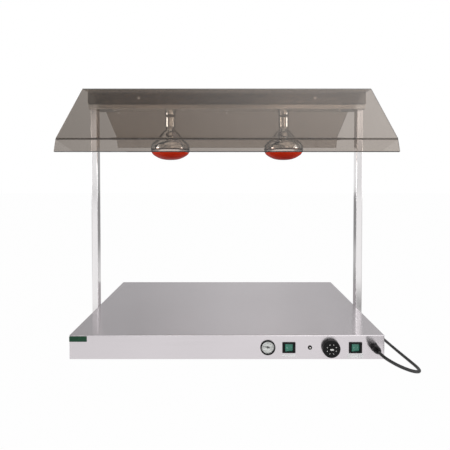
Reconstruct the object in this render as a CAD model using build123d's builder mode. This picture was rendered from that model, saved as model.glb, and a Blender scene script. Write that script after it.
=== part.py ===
"""Food heat lamp: a heated stainless counter with two infrared lamps under a smoked roof.

Frame: +Z up, floor at Z = 0, the control panel faces -Y, the posts stand in the plane Y = 0.
All sizes are in millimetres.
"""

import math
import os

from build123d import *

os.makedirs("parts", exist_ok=True)

# Overall sizes
base_width = 840.0
base_depth = 578.0
front_setback = 268.0  # front of the deck to the plane of the posts
foot_height = 6.0
skirt_height = 64.0
serving_height = 637.0  # deck to the underside of the lamp channel

# Sheet metal of the base
sheet = 1.5
corner_radius = 4.0
fold_radius = 2.5
flange_width = 15.0
plate_sheet = 1.2
plate_gap = 0.4
bottom_screw_diameter = 4.0
bottom_screw_head = 7.5
bottom_screw_head_height = 2.2
cross_length = 4.4  # recess in the head of every screw that shows
cross_width = 1.0
cross_depth = 1.4
screw_clearance = 0.2  # on the radius of every screw hole
foot_diameter = 32.0
foot_taper = 2.0
foot_inset = 70.0
foot_recess = 10.0
vent_length = 40.0
vent_width = 5.0
vent_pitch = 14.0
vent_count = 12
vent_margin = 8.0

# Heater under the deck
element_diameter = 8.0
element_runs = 6
element_side_margin = 90.0
element_front_margin = 115.0
element_back_margin = 60.0
element_bend_room = 1.0
clamp_width = 20.0
clamp_sheet = 1.5
clamp_overhang = 18.0
clamp_spread = 200.0
stud_diameter = 5.0
stud_nut = 9.0
stud_nut_height = 4.0
stud_tail = 3.0
shield_setback = 95.0
shield_sheet = 1.2
shield_top_gap = 11.3
shield_foot = 15.0
mat_top_gap = 4.8
mat_gap = 3.5
mat_corner = 6.0
terminal_length = 48.0
terminal_depth = 22.0
terminal_height = 20.0
terminal_poles = 5
terminal_hole = 4.0
terminal_bevel = 4.0
terminal_hole_height = 8.0
terminal_setback = 52.0

# Control panel: places measured in from the right end of the base, and from the middle of the skirt
instrument_drop = 1.0
thermometer_inset = 311.0
lamp_switch_inset = 255.0
pilot_inset = 199.0
knob_inset = 144.0
heat_switch_inset = 78.0
gland_inset = 29.0
gland_rise = 2.0
panel_fit = 0.2  # radial room of a piece in its panel hole

# Thermometer
dial_case_radius = 18.0
dial_case_length = 22.0
dial_bezel_overhang = 2.0
dial_bezel_height = 3.2
dial_wall = 1.0
dial_bezel_edge = 1.0
dial_fit = 0.2
dial_recess = 4.0
dial_sheet = 0.8
lens_thickness = 1.2
lens_inset = 0.4
lens_lip = 1.0
needle_length = 13.5
needle_tail = 5.0
needle_width = 1.9
needle_thickness = 0.5
needle_hub_radius = 2.8
needle_shaft_radius = 0.7
needle_gap = 1.5
shaft_seat = 4.0
needle_rest_angle = 171.0  # from +X towards +Z, seen from the front
running_fit = 0.1

# Thermostat
thermostat_width = 44.0
thermostat_height = 34.0
thermostat_depth = 36.0
thermostat_corner = 4.0
bellows_radius = 14.0
bellows_height = 5.0
spindle_radius = 3.0
spindle_reach = 10.0
spindle_seat = 12.0
spindle_end_room = 0.5
spindle_hole_room = 1.0
spindle_flat = 1.0
knob_radius = 23.8
knob_height = 12.0
knob_draft = 3.0
knob_gap = 0.8
knob_edge = 1.5
pointer_length = 15.0
pointer_width = 7.0
pointer_height = 2.5
pointer_angle = -4.0
pointer_round = 0.8

# Rocker switches
switch_bezel_side = 2.5
switch_bezel_top = 1.0
switch_bezel_thickness = 2.2
switch_bezel_corner = 1.5
switch_bezel_round = 1.0
switch_side_wall = 3.5
switch_top_wall = 3.5
switch_body_depth = 26.0
rocker_radius = 11.2
rocker_edge_inset = 0.85
rocker_height = 19.4
rocker_valley = 3.6  # pivot to the middle of the rocker's face
rocker_back = 4.0
rocker_room = 0.3
rocker_well = 12.0
rocker_pivot_depth = 4.0
rocker_pin_radius = 1.5
rocker_pin_length = 1.5
rocker_tilt = 10.0
blade_width = 6.3
blade_sheet = 0.8
blade_length = 9.0
blade_pitch = 9.0
blade_count = 3

# Pilot lamp
pilot_body_radius = 4.8
pilot_flange = 0.8
pilot_body_length = 20.0
pilot_rim = 2.0
pilot_wall = 2.4
pilot_lens_seat = 0.6
pilot_lens_height = 1.6
pilot_crown = 1.0

# Cord gland
gland_thread_radius = 8.0
gland_thread_length = 10.0
gland_hex = 20.0
gland_hex_height = 6.0
gland_neck_radius = 7.0
gland_neck_length = 14.0
gland_cap_radius = 10.0
gland_cap_gap = 0.3
gland_cap_straight = 13.0
gland_groove_width = 1.5
gland_groove_depth = 0.9
gland_groove_pitch = 3.2
gland_groove_count = 3
gland_cap_length = 32.0
gland_tip_radius = 5.5
locknut_height = 4.0
cord_diameter = 8.0

# Posts
post_width = 20.0
post_depth = 30.0
post_wall = 1.5
post_corner = 2.0
post_floor_gap = 12.0
post_plug_head = 3.0
post_plug_depth = 5.0
post_bolt_diameter = 6.0
post_bolt_head = 10.0
post_bolt_head_height = 4.0
post_bolt_grip = 8.0
post_bolt_rise = 2.0  # middle of the bolts above the middle of the skirt
post_bolt_spread = 24.0
insert_thickness = 4.0
insert_length = 34.0
insert_fit = 0.2
top_block_height = 20.0
top_screw_length = 18.0

# Lamp beam
channel_depth = 64.0
channel_height = 48.0
beam_sheet = 1.2
cover_overhang = 8.0
cover_skirt = 34.0
cover_drop_to_screw = 16.0
cover_screw_x = 279.0
cover_screw_diameter = 5.0
cover_screw_head = 9.0
cover_screw_head_height = 2.6
cover_screw_round = 1.5
cover_screw_tail = 4.0
spacer_radius = 5.5

# Roof canopy
canopy_inset = 2.0  # each end of the canopy inside the beam's end
canopy_thickness = 5.0
roof_half_depth = 95.0
wing_reach = 204.0
front_wing_drop = 172.0
rear_wing_drop = 109.0
lip_lean = 13.0
front_lip = 34.0
rear_lip = 40.0
canopy_bend = 9.0
canopy_screw_inset = 80.0
canopy_screw_spread = 52.0
canopy_screw_diameter = 4.0
canopy_screw_head = 9.0
canopy_screw_crown = 2.4
canopy_screw_round = 1.2
canopy_nut = 7.0
canopy_nut_height = 3.2
canopy_nut_dome = 2.6
canopy_nut_step = 0.3
canopy_nut_round = 2.4
canopy_washer = 15.0
canopy_washer_height = 1.5

# Lamp holders and lamps
lamp_x = 185.0
holder_cup_radius = 17.0
holder_cup_height = 14.5
holder_wall = 1.0
holder_neck_height = 8.5
holder_neck_inset = 1.0
holder_core_wall = 1.6
holder_sleeve_height = 31.0
nipple_radius = 5.0
nipple_bore = 3.5
nipple_thread = 17.0
nipple_hex = 17.0
nipple_hex_height = 5.0
lamp_cap_radius = 13.2
lamp_cap_wall = 0.5
lamp_cap_length = 24.0
lamp_cap_rise = 2.0  # sleeve edge to the lower edge of the lamp cap
lamp_button_radius = 4.5
lamp_button_height = 2.5
lamp_contact_gap = 0.3
lamp_fit = 0.3
lamp_radius = 62.5
lamp_glass_wall = 1.2
lamp_neck_fit = 0.2
lamp_shoulder_drop = 71.0  # sleeve edge down to the widest ring of the glass
lamp_crown = 34.0
lamp_flank = [(24.0, 17.0), (34.0, 30.0), (49.5, 45.5)]  # radius, and drop below the sleeve edge
lamp_edge_inset = 14.0
lamp_edge_drop = 22.0

# Coil of the spare cord, its tie and the plug, on the floor behind the base
coil_x = 340.0
coil_behind = 76.0
coil_z = 5.4
coil_inner = 36.5
coil_half_turns = 3
coil_step = 5.0
coil_layer = 8.8
coil_lead = 8.0
coil_tail = 20.0
coil_samples = 400
bend_share = 0.45  # of the shorter run beside a bend
tie_room = 0.4
tie_slack = 0.9
tie_sheet = 0.8
tie_width = 8.0
tie_corner = 4.0
plug_radius = 20.0
plug_height = 26.0
plug_back = 13.8  # axis of the cord above the plug's back
plug_round = 4.0
plug_face_radius = 18.5
plug_face_height = 9.0
plug_groove = 5.0
plug_sleeve_length = 32.0
plug_sleeve_small = 5.5
plug_sleeve_large = 8.5
plug_sleeve_sink = 4.0
plug_pin_diameter = 4.8
plug_pin_round = 1.4
plug_pin_pitch = 19.0
plug_pin_length = 19.0

# Levels and places that follow from the sizes
deck_z = foot_height + skirt_height
front_y = -front_setback
back_y = base_depth - front_setback
deck_mid_y = (front_y + back_y) / 2
half_width = base_width / 2
switch_body_width = 2 * (rocker_radius + rocker_room + switch_side_wall)
switch_body_height = rocker_height + 2 * (rocker_room + switch_top_wall)
switch_bezel_width = switch_body_width + 2 * switch_bezel_side
switch_bezel_height = switch_body_height + 2 * switch_bezel_top
skirt_mid_z = foot_height + skirt_height / 2
panel_z = skirt_mid_z - instrument_drop
gland_z = skirt_mid_z + gland_rise
thermometer_x = half_width - thermometer_inset
lamp_switch_x = half_width - lamp_switch_inset
pilot_x = half_width - pilot_inset
knob_x = half_width - knob_inset
heat_switch_x = half_width - heat_switch_inset
gland_x = half_width - gland_inset
channel_z = deck_z + serving_height
cover_top_z = channel_z + channel_height + beam_sheet
canopy_top_z = cover_top_z + canopy_thickness
flange_z = foot_height + plate_sheet
bay_floor_z = foot_height + plate_sheet
deck_under_z = deck_z - sheet
post_x = half_width + post_width / 2
beam_half = half_width + post_width
cover_depth = channel_depth + 2 * cover_overhang
canopy_half = beam_half - canopy_inset
coil_y = back_y + coil_behind
coil_outer = coil_inner + coil_half_turns * coil_step
sleeve_z = channel_z - holder_cup_height - holder_neck_height - holder_sleeve_height

# Planes: the panel's front seen from the front (x right, y up) and the right skirt (x back, y up)
panel = Plane(origin=(0, front_y, 0), x_dir=(1, 0, 0), z_dir=(0, -1, 0))
right_skirt = Plane(origin=(half_width, 0, 0), x_dir=(0, 1, 0), z_dir=(1, 0, 0))
left_skirt = Plane(origin=(-half_width, 0, 0), x_dir=(0, -1, 0), z_dir=(-1, 0, 0))
end_section = Plane(origin=(0, 0, 0), x_dir=(0, 1, 0), z_dir=(1, 0, 0))

flange_middle = sheet + flange_width / 2
side_screw_x = half_width - flange_middle
row_screw_x = half_width - foot_inset - foot_diameter
bottom_screw_places = [
    (x, y)
    for y in (front_y + flange_middle, back_y - flange_middle)
    for x in (-row_screw_x, 0, row_screw_x)
] + [(-side_screw_x, deck_mid_y), (side_screw_x, deck_mid_y)]
post_bolt_mid_z = skirt_mid_z + post_bolt_rise
post_bolt_levels = [post_bolt_mid_z - post_bolt_spread / 2, post_bolt_mid_z + post_bolt_spread / 2]


# Deck shell: one folded sheet, the heated top with four skirts and an inward return flange.
with BuildPart() as deck_shell:
    with BuildSketch(Plane.XY.offset(foot_height)):
        with Locations((0, deck_mid_y)):
            RectangleRounded(base_width, base_depth, corner_radius)
    extrude(amount=skirt_height)
    fillet(deck_shell.faces().sort_by(Axis.Z)[-1].edges(), radius=fold_radius)
    with BuildSketch(Plane.XY.offset(foot_height)):
        with Locations((0, deck_mid_y)):
            RectangleRounded(base_width - 2 * sheet, base_depth - 2 * sheet, corner_radius - sheet)
    extrude(amount=skirt_height - sheet, mode=Mode.SUBTRACT)
    with BuildSketch(Plane.XY.offset(flange_z)):
        with Locations((0, deck_mid_y)):
            RectangleRounded(base_width - sheet, base_depth - sheet, corner_radius - sheet / 2)
            Rectangle(
                base_width - 2 * sheet - 2 * flange_width,
                base_depth - 2 * sheet - 2 * flange_width,
                mode=Mode.SUBTRACT,
            )
        with Locations(*bottom_screw_places):
            Circle(bottom_screw_diameter / 2 + screw_clearance, mode=Mode.SUBTRACT)
    extrude(amount=sheet)
    with BuildSketch(panel):
        with Locations((thermometer_x, panel_z)):
            Circle(dial_case_radius + panel_fit)
        with Locations((lamp_switch_x, panel_z), (heat_switch_x, panel_z)):
            Rectangle(switch_body_width + 2 * panel_fit, switch_body_height + 2 * panel_fit)
        with Locations((pilot_x, panel_z)):
            Circle(pilot_body_radius + panel_fit)
        with Locations((knob_x, panel_z)):
            Circle(spindle_radius + spindle_hole_room)
        with Locations((gland_x, gland_z)):
            Circle(gland_thread_radius + panel_fit)
    extrude(amount=-2 * sheet, mode=Mode.SUBTRACT)
    with BuildSketch(right_skirt):
        with Locations(*[(0, z) for z in post_bolt_levels]):
            Circle(post_bolt_diameter / 2 + screw_clearance)
    extrude(amount=-base_width, mode=Mode.SUBTRACT)
deck_shell.part.label = "deck_shell"
export_step(deck_shell.part, "parts/deck_shell.step")

# Bottom plate: closes the base between the skirts, with two rows of vents under the controls.
vent_y = front_y + sheet + flange_width + vent_length / 2 + vent_margin
vent_x = half_width - sheet - flange_width - foot_inset - foot_diameter - vent_pitch * vent_count / 2
with BuildPart() as bottom_plate:
    with BuildSketch(Plane.XY.offset(foot_height)):
        with Locations((0, deck_mid_y)):
            RectangleRounded(
                base_width - 2 * sheet - 2 * plate_gap,
                base_depth - 2 * sheet - 2 * plate_gap,
                corner_radius - sheet - plate_gap,
            )
        with Locations((-vent_x, vent_y), (vent_x, vent_y)):
            with GridLocations(vent_pitch, 0, vent_count, 1):
                SlotOverall(vent_length, vent_width, rotation=90, mode=Mode.SUBTRACT)
        with Locations(*bottom_screw_places):
            Circle(bottom_screw_diameter / 2 + screw_clearance, mode=Mode.SUBTRACT)
    extrude(amount=plate_sheet)
bottom_plate.part.label = "bottom_plate"
export_step(bottom_plate.part, "parts/bottom_plate.step")

# Bottom screws: pan heads under the plate, threaded into the return flange.
with BuildPart() as bottom_screws:
    with BuildSketch(Plane.XY.offset(foot_height)):
        with Locations(*bottom_screw_places):
            Circle(bottom_screw_head / 2)
    extrude(amount=-bottom_screw_head_height)
    with BuildSketch(Plane.XY.offset(foot_height)):
        with Locations(*bottom_screw_places):
            Circle(bottom_screw_diameter / 2)
    extrude(amount=plate_sheet + sheet + bottom_screw_head_height)
    with BuildSketch(Plane.XY.offset(foot_height - bottom_screw_head_height)):
        with Locations(*bottom_screw_places):
            Rectangle(cross_length, cross_width)
            Rectangle(cross_width, cross_length)
    extrude(amount=cross_depth, mode=Mode.SUBTRACT)
bottom_screws.part.label = "bottom_screws"
export_step(bottom_screws.part, "parts/bottom_screws.step")

# Feet: four low rubber cones with a screw recess, set back under the plate.
foot_x = half_width - foot_inset
for foot_name, x, y in (
    ("foot_front_left", -foot_x, front_y + foot_inset),
    ("foot_front_right", foot_x, front_y + foot_inset),
    ("foot_back_left", -foot_x, back_y - foot_inset),
    ("foot_back_right", foot_x, back_y - foot_inset),
):
    with BuildPart() as foot:
        with BuildSketch(Plane.XY):
            with Locations((x, y)):
                Circle(foot_diameter / 2 - foot_taper)
        with BuildSketch(Plane.XY.offset(foot_height)):
            with Locations((x, y)):
                Circle(foot_diameter / 2)
        loft()
        with BuildSketch(Plane.XY):
            with Locations((x, y)):
                Circle(foot_recess / 2)
        extrude(amount=foot_height / 2, mode=Mode.SUBTRACT)
    foot.part.label = foot_name
    export_step(foot.part, f"parts/{foot_name}.step")

# Heating element: one sheathed rod bent to and fro against the underside of the deck.
element_z = deck_under_z - element_diameter / 2
element_half = half_width - element_side_margin
element_front = front_y + element_front_margin
element_pitch = (base_depth - element_front_margin - element_back_margin) / (element_runs - 1)
element_points = []
for run in range(element_runs):
    side = -1 if run % 2 == 0 else 1
    run_y = element_front + run * element_pitch
    element_points.append((side * element_half, run_y, element_z))
    element_points.append((-side * element_half, run_y, element_z))
with BuildPart() as heating_element:
    with BuildLine() as element_path:
        FilletPolyline(*element_points, radius=element_pitch / 2 - element_bend_room)
    with BuildSketch(Plane(origin=element_path.line @ 0, z_dir=element_path.line % 0)):
        Circle(element_diameter / 2)
    sweep(path=element_path.wires()[0])
heating_element.part.label = "heating_element"
export_step(heating_element.part, "parts/heating_element.step")

# Element clamps: flat bars across the runs, drawn up on studs that are welded under the deck.
clamp_z = deck_under_z - element_diameter - clamp_sheet
clamp_length = (element_runs - 1) * element_pitch + 2 * clamp_overhang
clamp_mid_y = element_front + (element_runs - 1) * element_pitch / 2
stud_places = [
    (x, element_front + (gap + 0.5) * element_pitch)
    for x in (-clamp_spread, 0, clamp_spread)
    for gap in (0, element_runs - 2)
]
with BuildPart() as element_clamps:
    with BuildSketch(Plane.XY.offset(clamp_z)):
        with Locations(*[(x, clamp_mid_y) for x in (-clamp_spread, 0, clamp_spread)]):
            Rectangle(clamp_width, clamp_length)
        with Locations(*stud_places):
            Circle(stud_diameter / 2 + screw_clearance, mode=Mode.SUBTRACT)
    extrude(amount=clamp_sheet)
element_clamps.part.label = "element_clamps"
export_step(element_clamps.part, "parts/element_clamps.step")

stud_length = element_diameter + clamp_sheet + stud_nut_height + stud_tail
with BuildPart() as clamp_studs:
    with BuildSketch(Plane.XY.offset(deck_under_z)):
        with Locations(*stud_places):
            Circle(stud_diameter / 2)
    extrude(amount=-stud_length)
    with BuildSketch(Plane.XY.offset(clamp_z)):
        with Locations(*stud_places):
            RegularPolygon(stud_nut / 2, 6)
    extrude(amount=-stud_nut_height)
clamp_studs.part.label = "clamp_studs"
export_step(clamp_studs.part, "parts/clamp_studs.step")

# Heat shield: an angle sheet that parts the control bay from the heated space.
shield_y = front_y + shield_setback
shield_top_z = deck_under_z - shield_top_gap
bay_half = half_width - sheet - flange_width - mat_gap
with BuildPart() as heat_shield:
    with BuildSketch(end_section.offset(-bay_half)):
        with BuildLine():
            Polyline(
                (shield_y, bay_floor_z),
                (shield_y, shield_top_z),
                (shield_y - shield_sheet, shield_top_z),
                (shield_y - shield_sheet, bay_floor_z + shield_sheet),
                (shield_y - shield_foot, bay_floor_z + shield_sheet),
                (shield_y - shield_foot, bay_floor_z),
                close=True,
            )
        make_face()
    extrude(amount=2 * bay_half)
heat_shield.part.label = "heat_shield"
export_step(heat_shield.part, "parts/heat_shield.step")

# Insulation mat: mineral wool on the bottom plate, behind the shield.
mat_back_y = back_y - sheet - flange_width - mat_gap
mat_height = deck_under_z - stud_length - mat_top_gap - bay_floor_z
with BuildPart() as insulation_mat:
    with BuildSketch(Plane.XY.offset(bay_floor_z)):
        with Locations((0, (shield_y + mat_back_y) / 2)):
            Rectangle(2 * bay_half, mat_back_y - shield_y)
    extrude(amount=mat_height)
    fillet(insulation_mat.edges().filter_by(Axis.Z), radius=mat_corner)
insulation_mat.part.label = "insulation_mat"
export_step(insulation_mat.part, "parts/insulation_mat.step")

# Terminal block: where the supply cord is joined, on the bay floor near the gland.
terminal_x = gland_x - terminal_length / 2
terminal_y = front_y + terminal_setback
terminal_pitch = terminal_length / terminal_poles
with BuildPart() as terminal_block:
    with BuildSketch(Plane.XY.offset(bay_floor_z)):
        with Locations((terminal_x, terminal_y)):
            Rectangle(terminal_length, terminal_depth)
    extrude(amount=terminal_height)
    chamfer(terminal_block.faces().sort_by(Axis.Z)[-1].edges().filter_by(Axis.X), length=terminal_bevel)
    with BuildSketch(panel.offset(-terminal_setback)):
        with Locations((terminal_x, bay_floor_z + terminal_hole_height)):
            with GridLocations(terminal_pitch, 0, terminal_poles, 1):
                Circle(terminal_hole / 2)
    extrude(amount=terminal_depth, both=True, mode=Mode.SUBTRACT)
terminal_block.part.label = "terminal_block"
export_step(terminal_block.part, "parts/terminal_block.step")

# Thermometer case: a round can with a rolled bezel that holds the lens.
lens_radius = dial_case_radius - lens_inset
dial_bezel_radius = dial_case_radius + dial_bezel_overhang
dial_radius = dial_case_radius - dial_wall - dial_fit
dial_lens_out = dial_bezel_height - lens_lip - lens_thickness
thermometer_section = Plane(origin=(thermometer_x, front_y, panel_z))
with BuildPart() as thermometer_case:
    with BuildSketch(thermometer_section):
        with BuildLine():
            Polyline(
                (0, dial_case_length),
                (dial_case_radius, dial_case_length),
                (dial_case_radius, 0),
                (dial_bezel_radius, 0),
                (dial_bezel_radius, -dial_bezel_height + dial_bezel_edge),
                (dial_bezel_radius - dial_bezel_edge, -dial_bezel_height),
                (lens_radius - lens_lip, -dial_bezel_height),
                (lens_radius - lens_lip, -dial_bezel_height + lens_lip),
                (lens_radius + running_fit, -dial_bezel_height + lens_lip),
                (lens_radius + running_fit, -dial_lens_out),
                (dial_case_radius - dial_wall, -dial_lens_out),
                (dial_case_radius - dial_wall, dial_recess),
                (needle_shaft_radius + running_fit, dial_recess),
                (needle_shaft_radius + running_fit, dial_recess + shaft_seat),
                (0, dial_recess + shaft_seat),
                close=True,
            )
        make_face()
    revolve(axis=Axis(thermometer_section.origin, (0, 1, 0)))
thermometer_case.part.label = "thermometer_case"
export_step(thermometer_case.part, "parts/thermometer_case.step")

# Thermometer dial: the scale plate on the floor of the can.
dial_plane = panel.offset(-dial_recess)
with BuildPart() as thermometer_dial:
    with BuildSketch(dial_plane):
        with Locations((thermometer_x, panel_z)):
            Circle(dial_radius)
            Circle(needle_shaft_radius + 2 * running_fit, mode=Mode.SUBTRACT)
    extrude(amount=dial_sheet)
thermometer_dial.part.label = "thermometer_dial"
export_step(thermometer_dial.part, "parts/thermometer_dial.step")

# Thermometer needle: a tapered pointer with a counterweight tail on a thin shaft.
needle_out = dial_sheet + needle_gap
needle_plane = Plane(
    origin=(thermometer_x, front_y + dial_recess - needle_out, panel_z),
    x_dir=(math.cos(math.radians(needle_rest_angle)), 0, math.sin(math.radians(needle_rest_angle))),
    z_dir=(0, -1, 0),
)
with BuildPart() as thermometer_needle:
    with BuildSketch(needle_plane):
        with BuildLine():
            Polyline(
                (-needle_tail, -needle_width),
                (0, -needle_width / 2),
                (needle_length, -needle_width / 6),
                (needle_length, needle_width / 6),
                (0, needle_width / 2),
                (-needle_tail, needle_width),
                close=True,
            )
        make_face()
        Circle(needle_hub_radius)
    extrude(amount=needle_thickness)
    with BuildSketch(needle_plane.offset(needle_thickness)):
        Circle(needle_shaft_radius)
    extrude(amount=-(needle_thickness + needle_out + shaft_seat - 5 * running_fit))
thermometer_needle.part.label = "thermometer_needle"
export_step(thermometer_needle.part, "parts/thermometer_needle.step")

# Thermometer lens: a flat glass under the bezel's lip.
with BuildPart() as thermometer_lens:
    with BuildSketch(panel.offset(dial_lens_out)):
        with Locations((thermometer_x, panel_z)):
            Circle(lens_radius)
    extrude(amount=lens_thickness)
thermometer_lens.part.label = "thermometer_lens"
export_step(thermometer_lens.part, "parts/thermometer_lens.step")

# Thermostat body: a moulded block against the back of the panel, with its bellows can behind.
thermostat_front = panel.offset(-sheet)
with BuildPart() as thermostat_body:
    with BuildSketch(thermostat_front):
        with Locations((knob_x, panel_z)):
            RectangleRounded(thermostat_width, thermostat_height, thermostat_corner)
    extrude(amount=-thermostat_depth)
    with BuildSketch(thermostat_front.offset(-thermostat_depth)):
        with Locations((knob_x, panel_z)):
            Circle(bellows_radius)
    extrude(amount=-bellows_height)
    with BuildSketch(thermostat_front):
        with Locations((knob_x, panel_z)):
            Circle(spindle_radius + running_fit)
    extrude(amount=-(spindle_seat + spindle_end_room), mode=Mode.SUBTRACT)
thermostat_body.part.label = "thermostat_body"
export_step(thermostat_body.part, "parts/thermostat_body.step")

# Thermostat spindle: a round shaft, flattened where the knob grips it.
flat_plane = Plane(
    origin=(knob_x, front_y, panel_z),
    x_dir=(math.cos(math.radians(pointer_angle)), 0, math.sin(math.radians(pointer_angle))),
    z_dir=(0, -1, 0),
)
spindle_outline = spindle_radius - spindle_flat
with BuildPart() as thermostat_spindle:
    with BuildSketch(flat_plane.offset(-sheet - spindle_seat)):
        Circle(spindle_radius)
    extrude(amount=sheet + spindle_seat + spindle_reach)
    with BuildSketch(flat_plane.offset(knob_gap)):
        with Locations((0, spindle_outline + spindle_radius)):
            Rectangle(2 * spindle_radius, 2 * spindle_radius)
    extrude(amount=spindle_reach, mode=Mode.SUBTRACT)
thermostat_spindle.part.label = "thermostat_spindle"
export_step(thermostat_spindle.part, "parts/thermostat_spindle.step")

# Thermostat knob: a thick disc with a drafted rim, flat in front for its scale, and a raised pointer.
with BuildPart() as thermostat_knob:
    with BuildSketch(flat_plane.offset(knob_gap)):
        Circle(knob_radius)
    extrude(amount=knob_height, taper=knob_draft)
    fillet(thermostat_knob.faces().sort_by(Axis.Y)[0].edges(), radius=knob_edge)
    with BuildSketch(flat_plane.offset(knob_gap + knob_height)):
        SlotOverall(pointer_length, pointer_width)
    extrude(amount=pointer_height)
    fillet(thermostat_knob.faces().sort_by(Axis.Y)[0].edges(), radius=pointer_round)
    with BuildSketch(flat_plane.offset(knob_gap)):
        Circle(spindle_radius)
        with Locations((0, spindle_outline + spindle_radius)):
            Rectangle(2 * spindle_radius, 2 * spindle_radius, mode=Mode.SUBTRACT)
    extrude(amount=spindle_reach - knob_gap, mode=Mode.SUBTRACT)
thermostat_knob.part.label = "thermostat_knob"
export_step(thermostat_knob.part, "parts/thermostat_knob.step")

# Rocker switches: a snap-in housing and a two-faced rocker on side pins, one for the lamps, one for the deck.
rocker_half_width = rocker_radius - rocker_edge_inset
rocker_corner = math.sqrt(rocker_radius**2 - rocker_half_width**2)
rocker_back_half = math.sqrt(rocker_radius**2 - rocker_back**2)
for switch_name, switch_x in (("lamp_switch", lamp_switch_x), ("heat_switch", heat_switch_x)):
    with BuildPart() as switch_housing:
        with BuildSketch(panel):
            with Locations((switch_x, panel_z)):
                RectangleRounded(switch_bezel_width, switch_bezel_height, switch_bezel_corner)
        extrude(amount=switch_bezel_thickness)
        fillet(switch_housing.faces().sort_by(Axis.Y)[0].edges(), radius=switch_bezel_round)
        with BuildSketch(panel):
            with Locations((switch_x, panel_z)):
                Rectangle(switch_body_width, switch_body_height)
        extrude(amount=-switch_body_depth)
        with BuildSketch(panel.offset(switch_bezel_thickness)):
            with Locations((switch_x, panel_z)):
                Rectangle(2 * (rocker_radius + rocker_room), rocker_height + 2 * rocker_room)
        extrude(amount=-(switch_bezel_thickness + rocker_well), mode=Mode.SUBTRACT)
        with BuildSketch(Plane.XY.offset(panel_z)):
            with Locations((switch_x, front_y + rocker_pivot_depth)):
                Circle(rocker_pin_radius + running_fit)
        pin_seat = rocker_height / 2 + rocker_pin_length + rocker_room
        extrude(amount=pin_seat, both=True, mode=Mode.SUBTRACT)
        with BuildSketch(panel.offset(-switch_body_depth)):
            with Locations((switch_x, panel_z)):
                with GridLocations(blade_pitch, 0, blade_count, 1):
                    Rectangle(blade_sheet, blade_width)
        extrude(amount=-blade_length)
    switch_housing.part.label = f"{switch_name}_housing"
    export_step(switch_housing.part, f"parts/{switch_name}_housing.step")

    rocker_plane = Plane(
        origin=(switch_x, front_y + rocker_pivot_depth, panel_z),
        x_dir=(math.cos(math.radians(rocker_tilt)), math.sin(math.radians(rocker_tilt)), 0),
        z_dir=(0, 0, 1),
    )
    with BuildPart() as switch_rocker:
        with BuildSketch(rocker_plane):
            with BuildLine():
                right_end = ThreePointArc(
                    (rocker_half_width, -rocker_corner), (rocker_radius, 0), (rocker_back_half, rocker_back)
                )
                Line(right_end @ 1, (-rocker_back_half, rocker_back))
                left_end = ThreePointArc(
                    (-rocker_back_half, rocker_back),
                    (-rocker_radius, 0),
                    (-rocker_half_width, -rocker_corner),
                )
                Polyline(left_end @ 1, (0, -rocker_valley), right_end @ 0)
            make_face()
        extrude(amount=rocker_height / 2, both=True)
        with BuildSketch(rocker_plane):
            Circle(rocker_pin_radius)
        extrude(amount=rocker_height / 2 + rocker_pin_length, both=True)
    switch_rocker.part.label = f"{switch_name}_rocker"
    export_step(switch_rocker.part, f"parts/{switch_name}_rocker.step")

# Pilot lamp: a threaded body with a thin rim, and a low domed lens.
pilot_radius = pilot_body_radius + pilot_flange
pilot_lens_radius = pilot_body_radius - pilot_wall
pilot_section = Plane(origin=(pilot_x, front_y, panel_z))
pilot_axis = Axis(pilot_section.origin, (0, 1, 0))
with BuildPart() as pilot_bezel:
    with BuildSketch(pilot_section):
        with BuildLine():
            Polyline(
                (0, pilot_body_length),
                (pilot_body_radius, pilot_body_length),
                (pilot_body_radius, 0),
                (pilot_radius, 0),
                (pilot_radius, -pilot_rim / 2),
                (pilot_radius - pilot_rim / 2, -pilot_rim),
                (pilot_lens_radius, -pilot_rim),
                (pilot_lens_radius, -pilot_lens_seat),
                (0, -pilot_lens_seat),
                close=True,
            )
        make_face()
    revolve(axis=pilot_axis)
pilot_bezel.part.label = "pilot_bezel"
export_step(pilot_bezel.part, "parts/pilot_bezel.step")

pilot_edge = pilot_lens_radius - running_fit
pilot_edge_out = pilot_lens_seat + pilot_lens_height
with BuildPart() as pilot_lens:
    with BuildSketch(pilot_section):
        with BuildLine():
            sides = Polyline(
                (0, -pilot_edge_out - pilot_crown),
                (0, -pilot_lens_seat),
                (pilot_edge, -pilot_lens_seat),
                (pilot_edge, -pilot_edge_out),
            )
            TangentArc(sides @ 0, sides @ 1, tangent=(1, 0))
        make_face()
    revolve(axis=pilot_axis)
pilot_lens.part.label = "pilot_lens"
export_step(pilot_lens.part, "parts/pilot_lens.step")

# Cord gland: body with a hexagon outside the panel, a locknut inside, and a domed cap on the cord.
gland_plane = Plane(origin=(gland_x, front_y, gland_z), x_dir=(1, 0, 0), z_dir=(0, -1, 0))
with BuildPart() as gland_body:
    with BuildSketch(gland_plane):
        RegularPolygon(gland_hex / 2, 6, major_radius=False)
    extrude(amount=gland_hex_height)
    with BuildSketch(gland_plane.offset(-sheet - gland_thread_length)):
        Circle(gland_thread_radius)
    extrude(amount=sheet + gland_thread_length)
    with BuildSketch(gland_plane.offset(gland_hex_height)):
        Circle(gland_neck_radius)
    extrude(amount=gland_neck_length)
    with BuildSketch(gland_plane.offset(gland_hex_height + gland_neck_length)):
        Circle(cord_diameter / 2 + panel_fit)
    gland_total = sheet + gland_thread_length + gland_hex_height + gland_neck_length
    extrude(amount=-gland_total, mode=Mode.SUBTRACT)
gland_body.part.label = "gland_body"
export_step(gland_body.part, "parts/gland_body.step")

with BuildPart() as gland_locknut:
    with BuildSketch(gland_plane.offset(-sheet)):
        RegularPolygon(gland_hex / 2, 6, major_radius=False)
        Circle(gland_thread_radius + running_fit, mode=Mode.SUBTRACT)
    extrude(amount=-locknut_height)
gland_locknut.part.label = "gland_locknut"
export_step(gland_locknut.part, "parts/gland_locknut.step")

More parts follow.
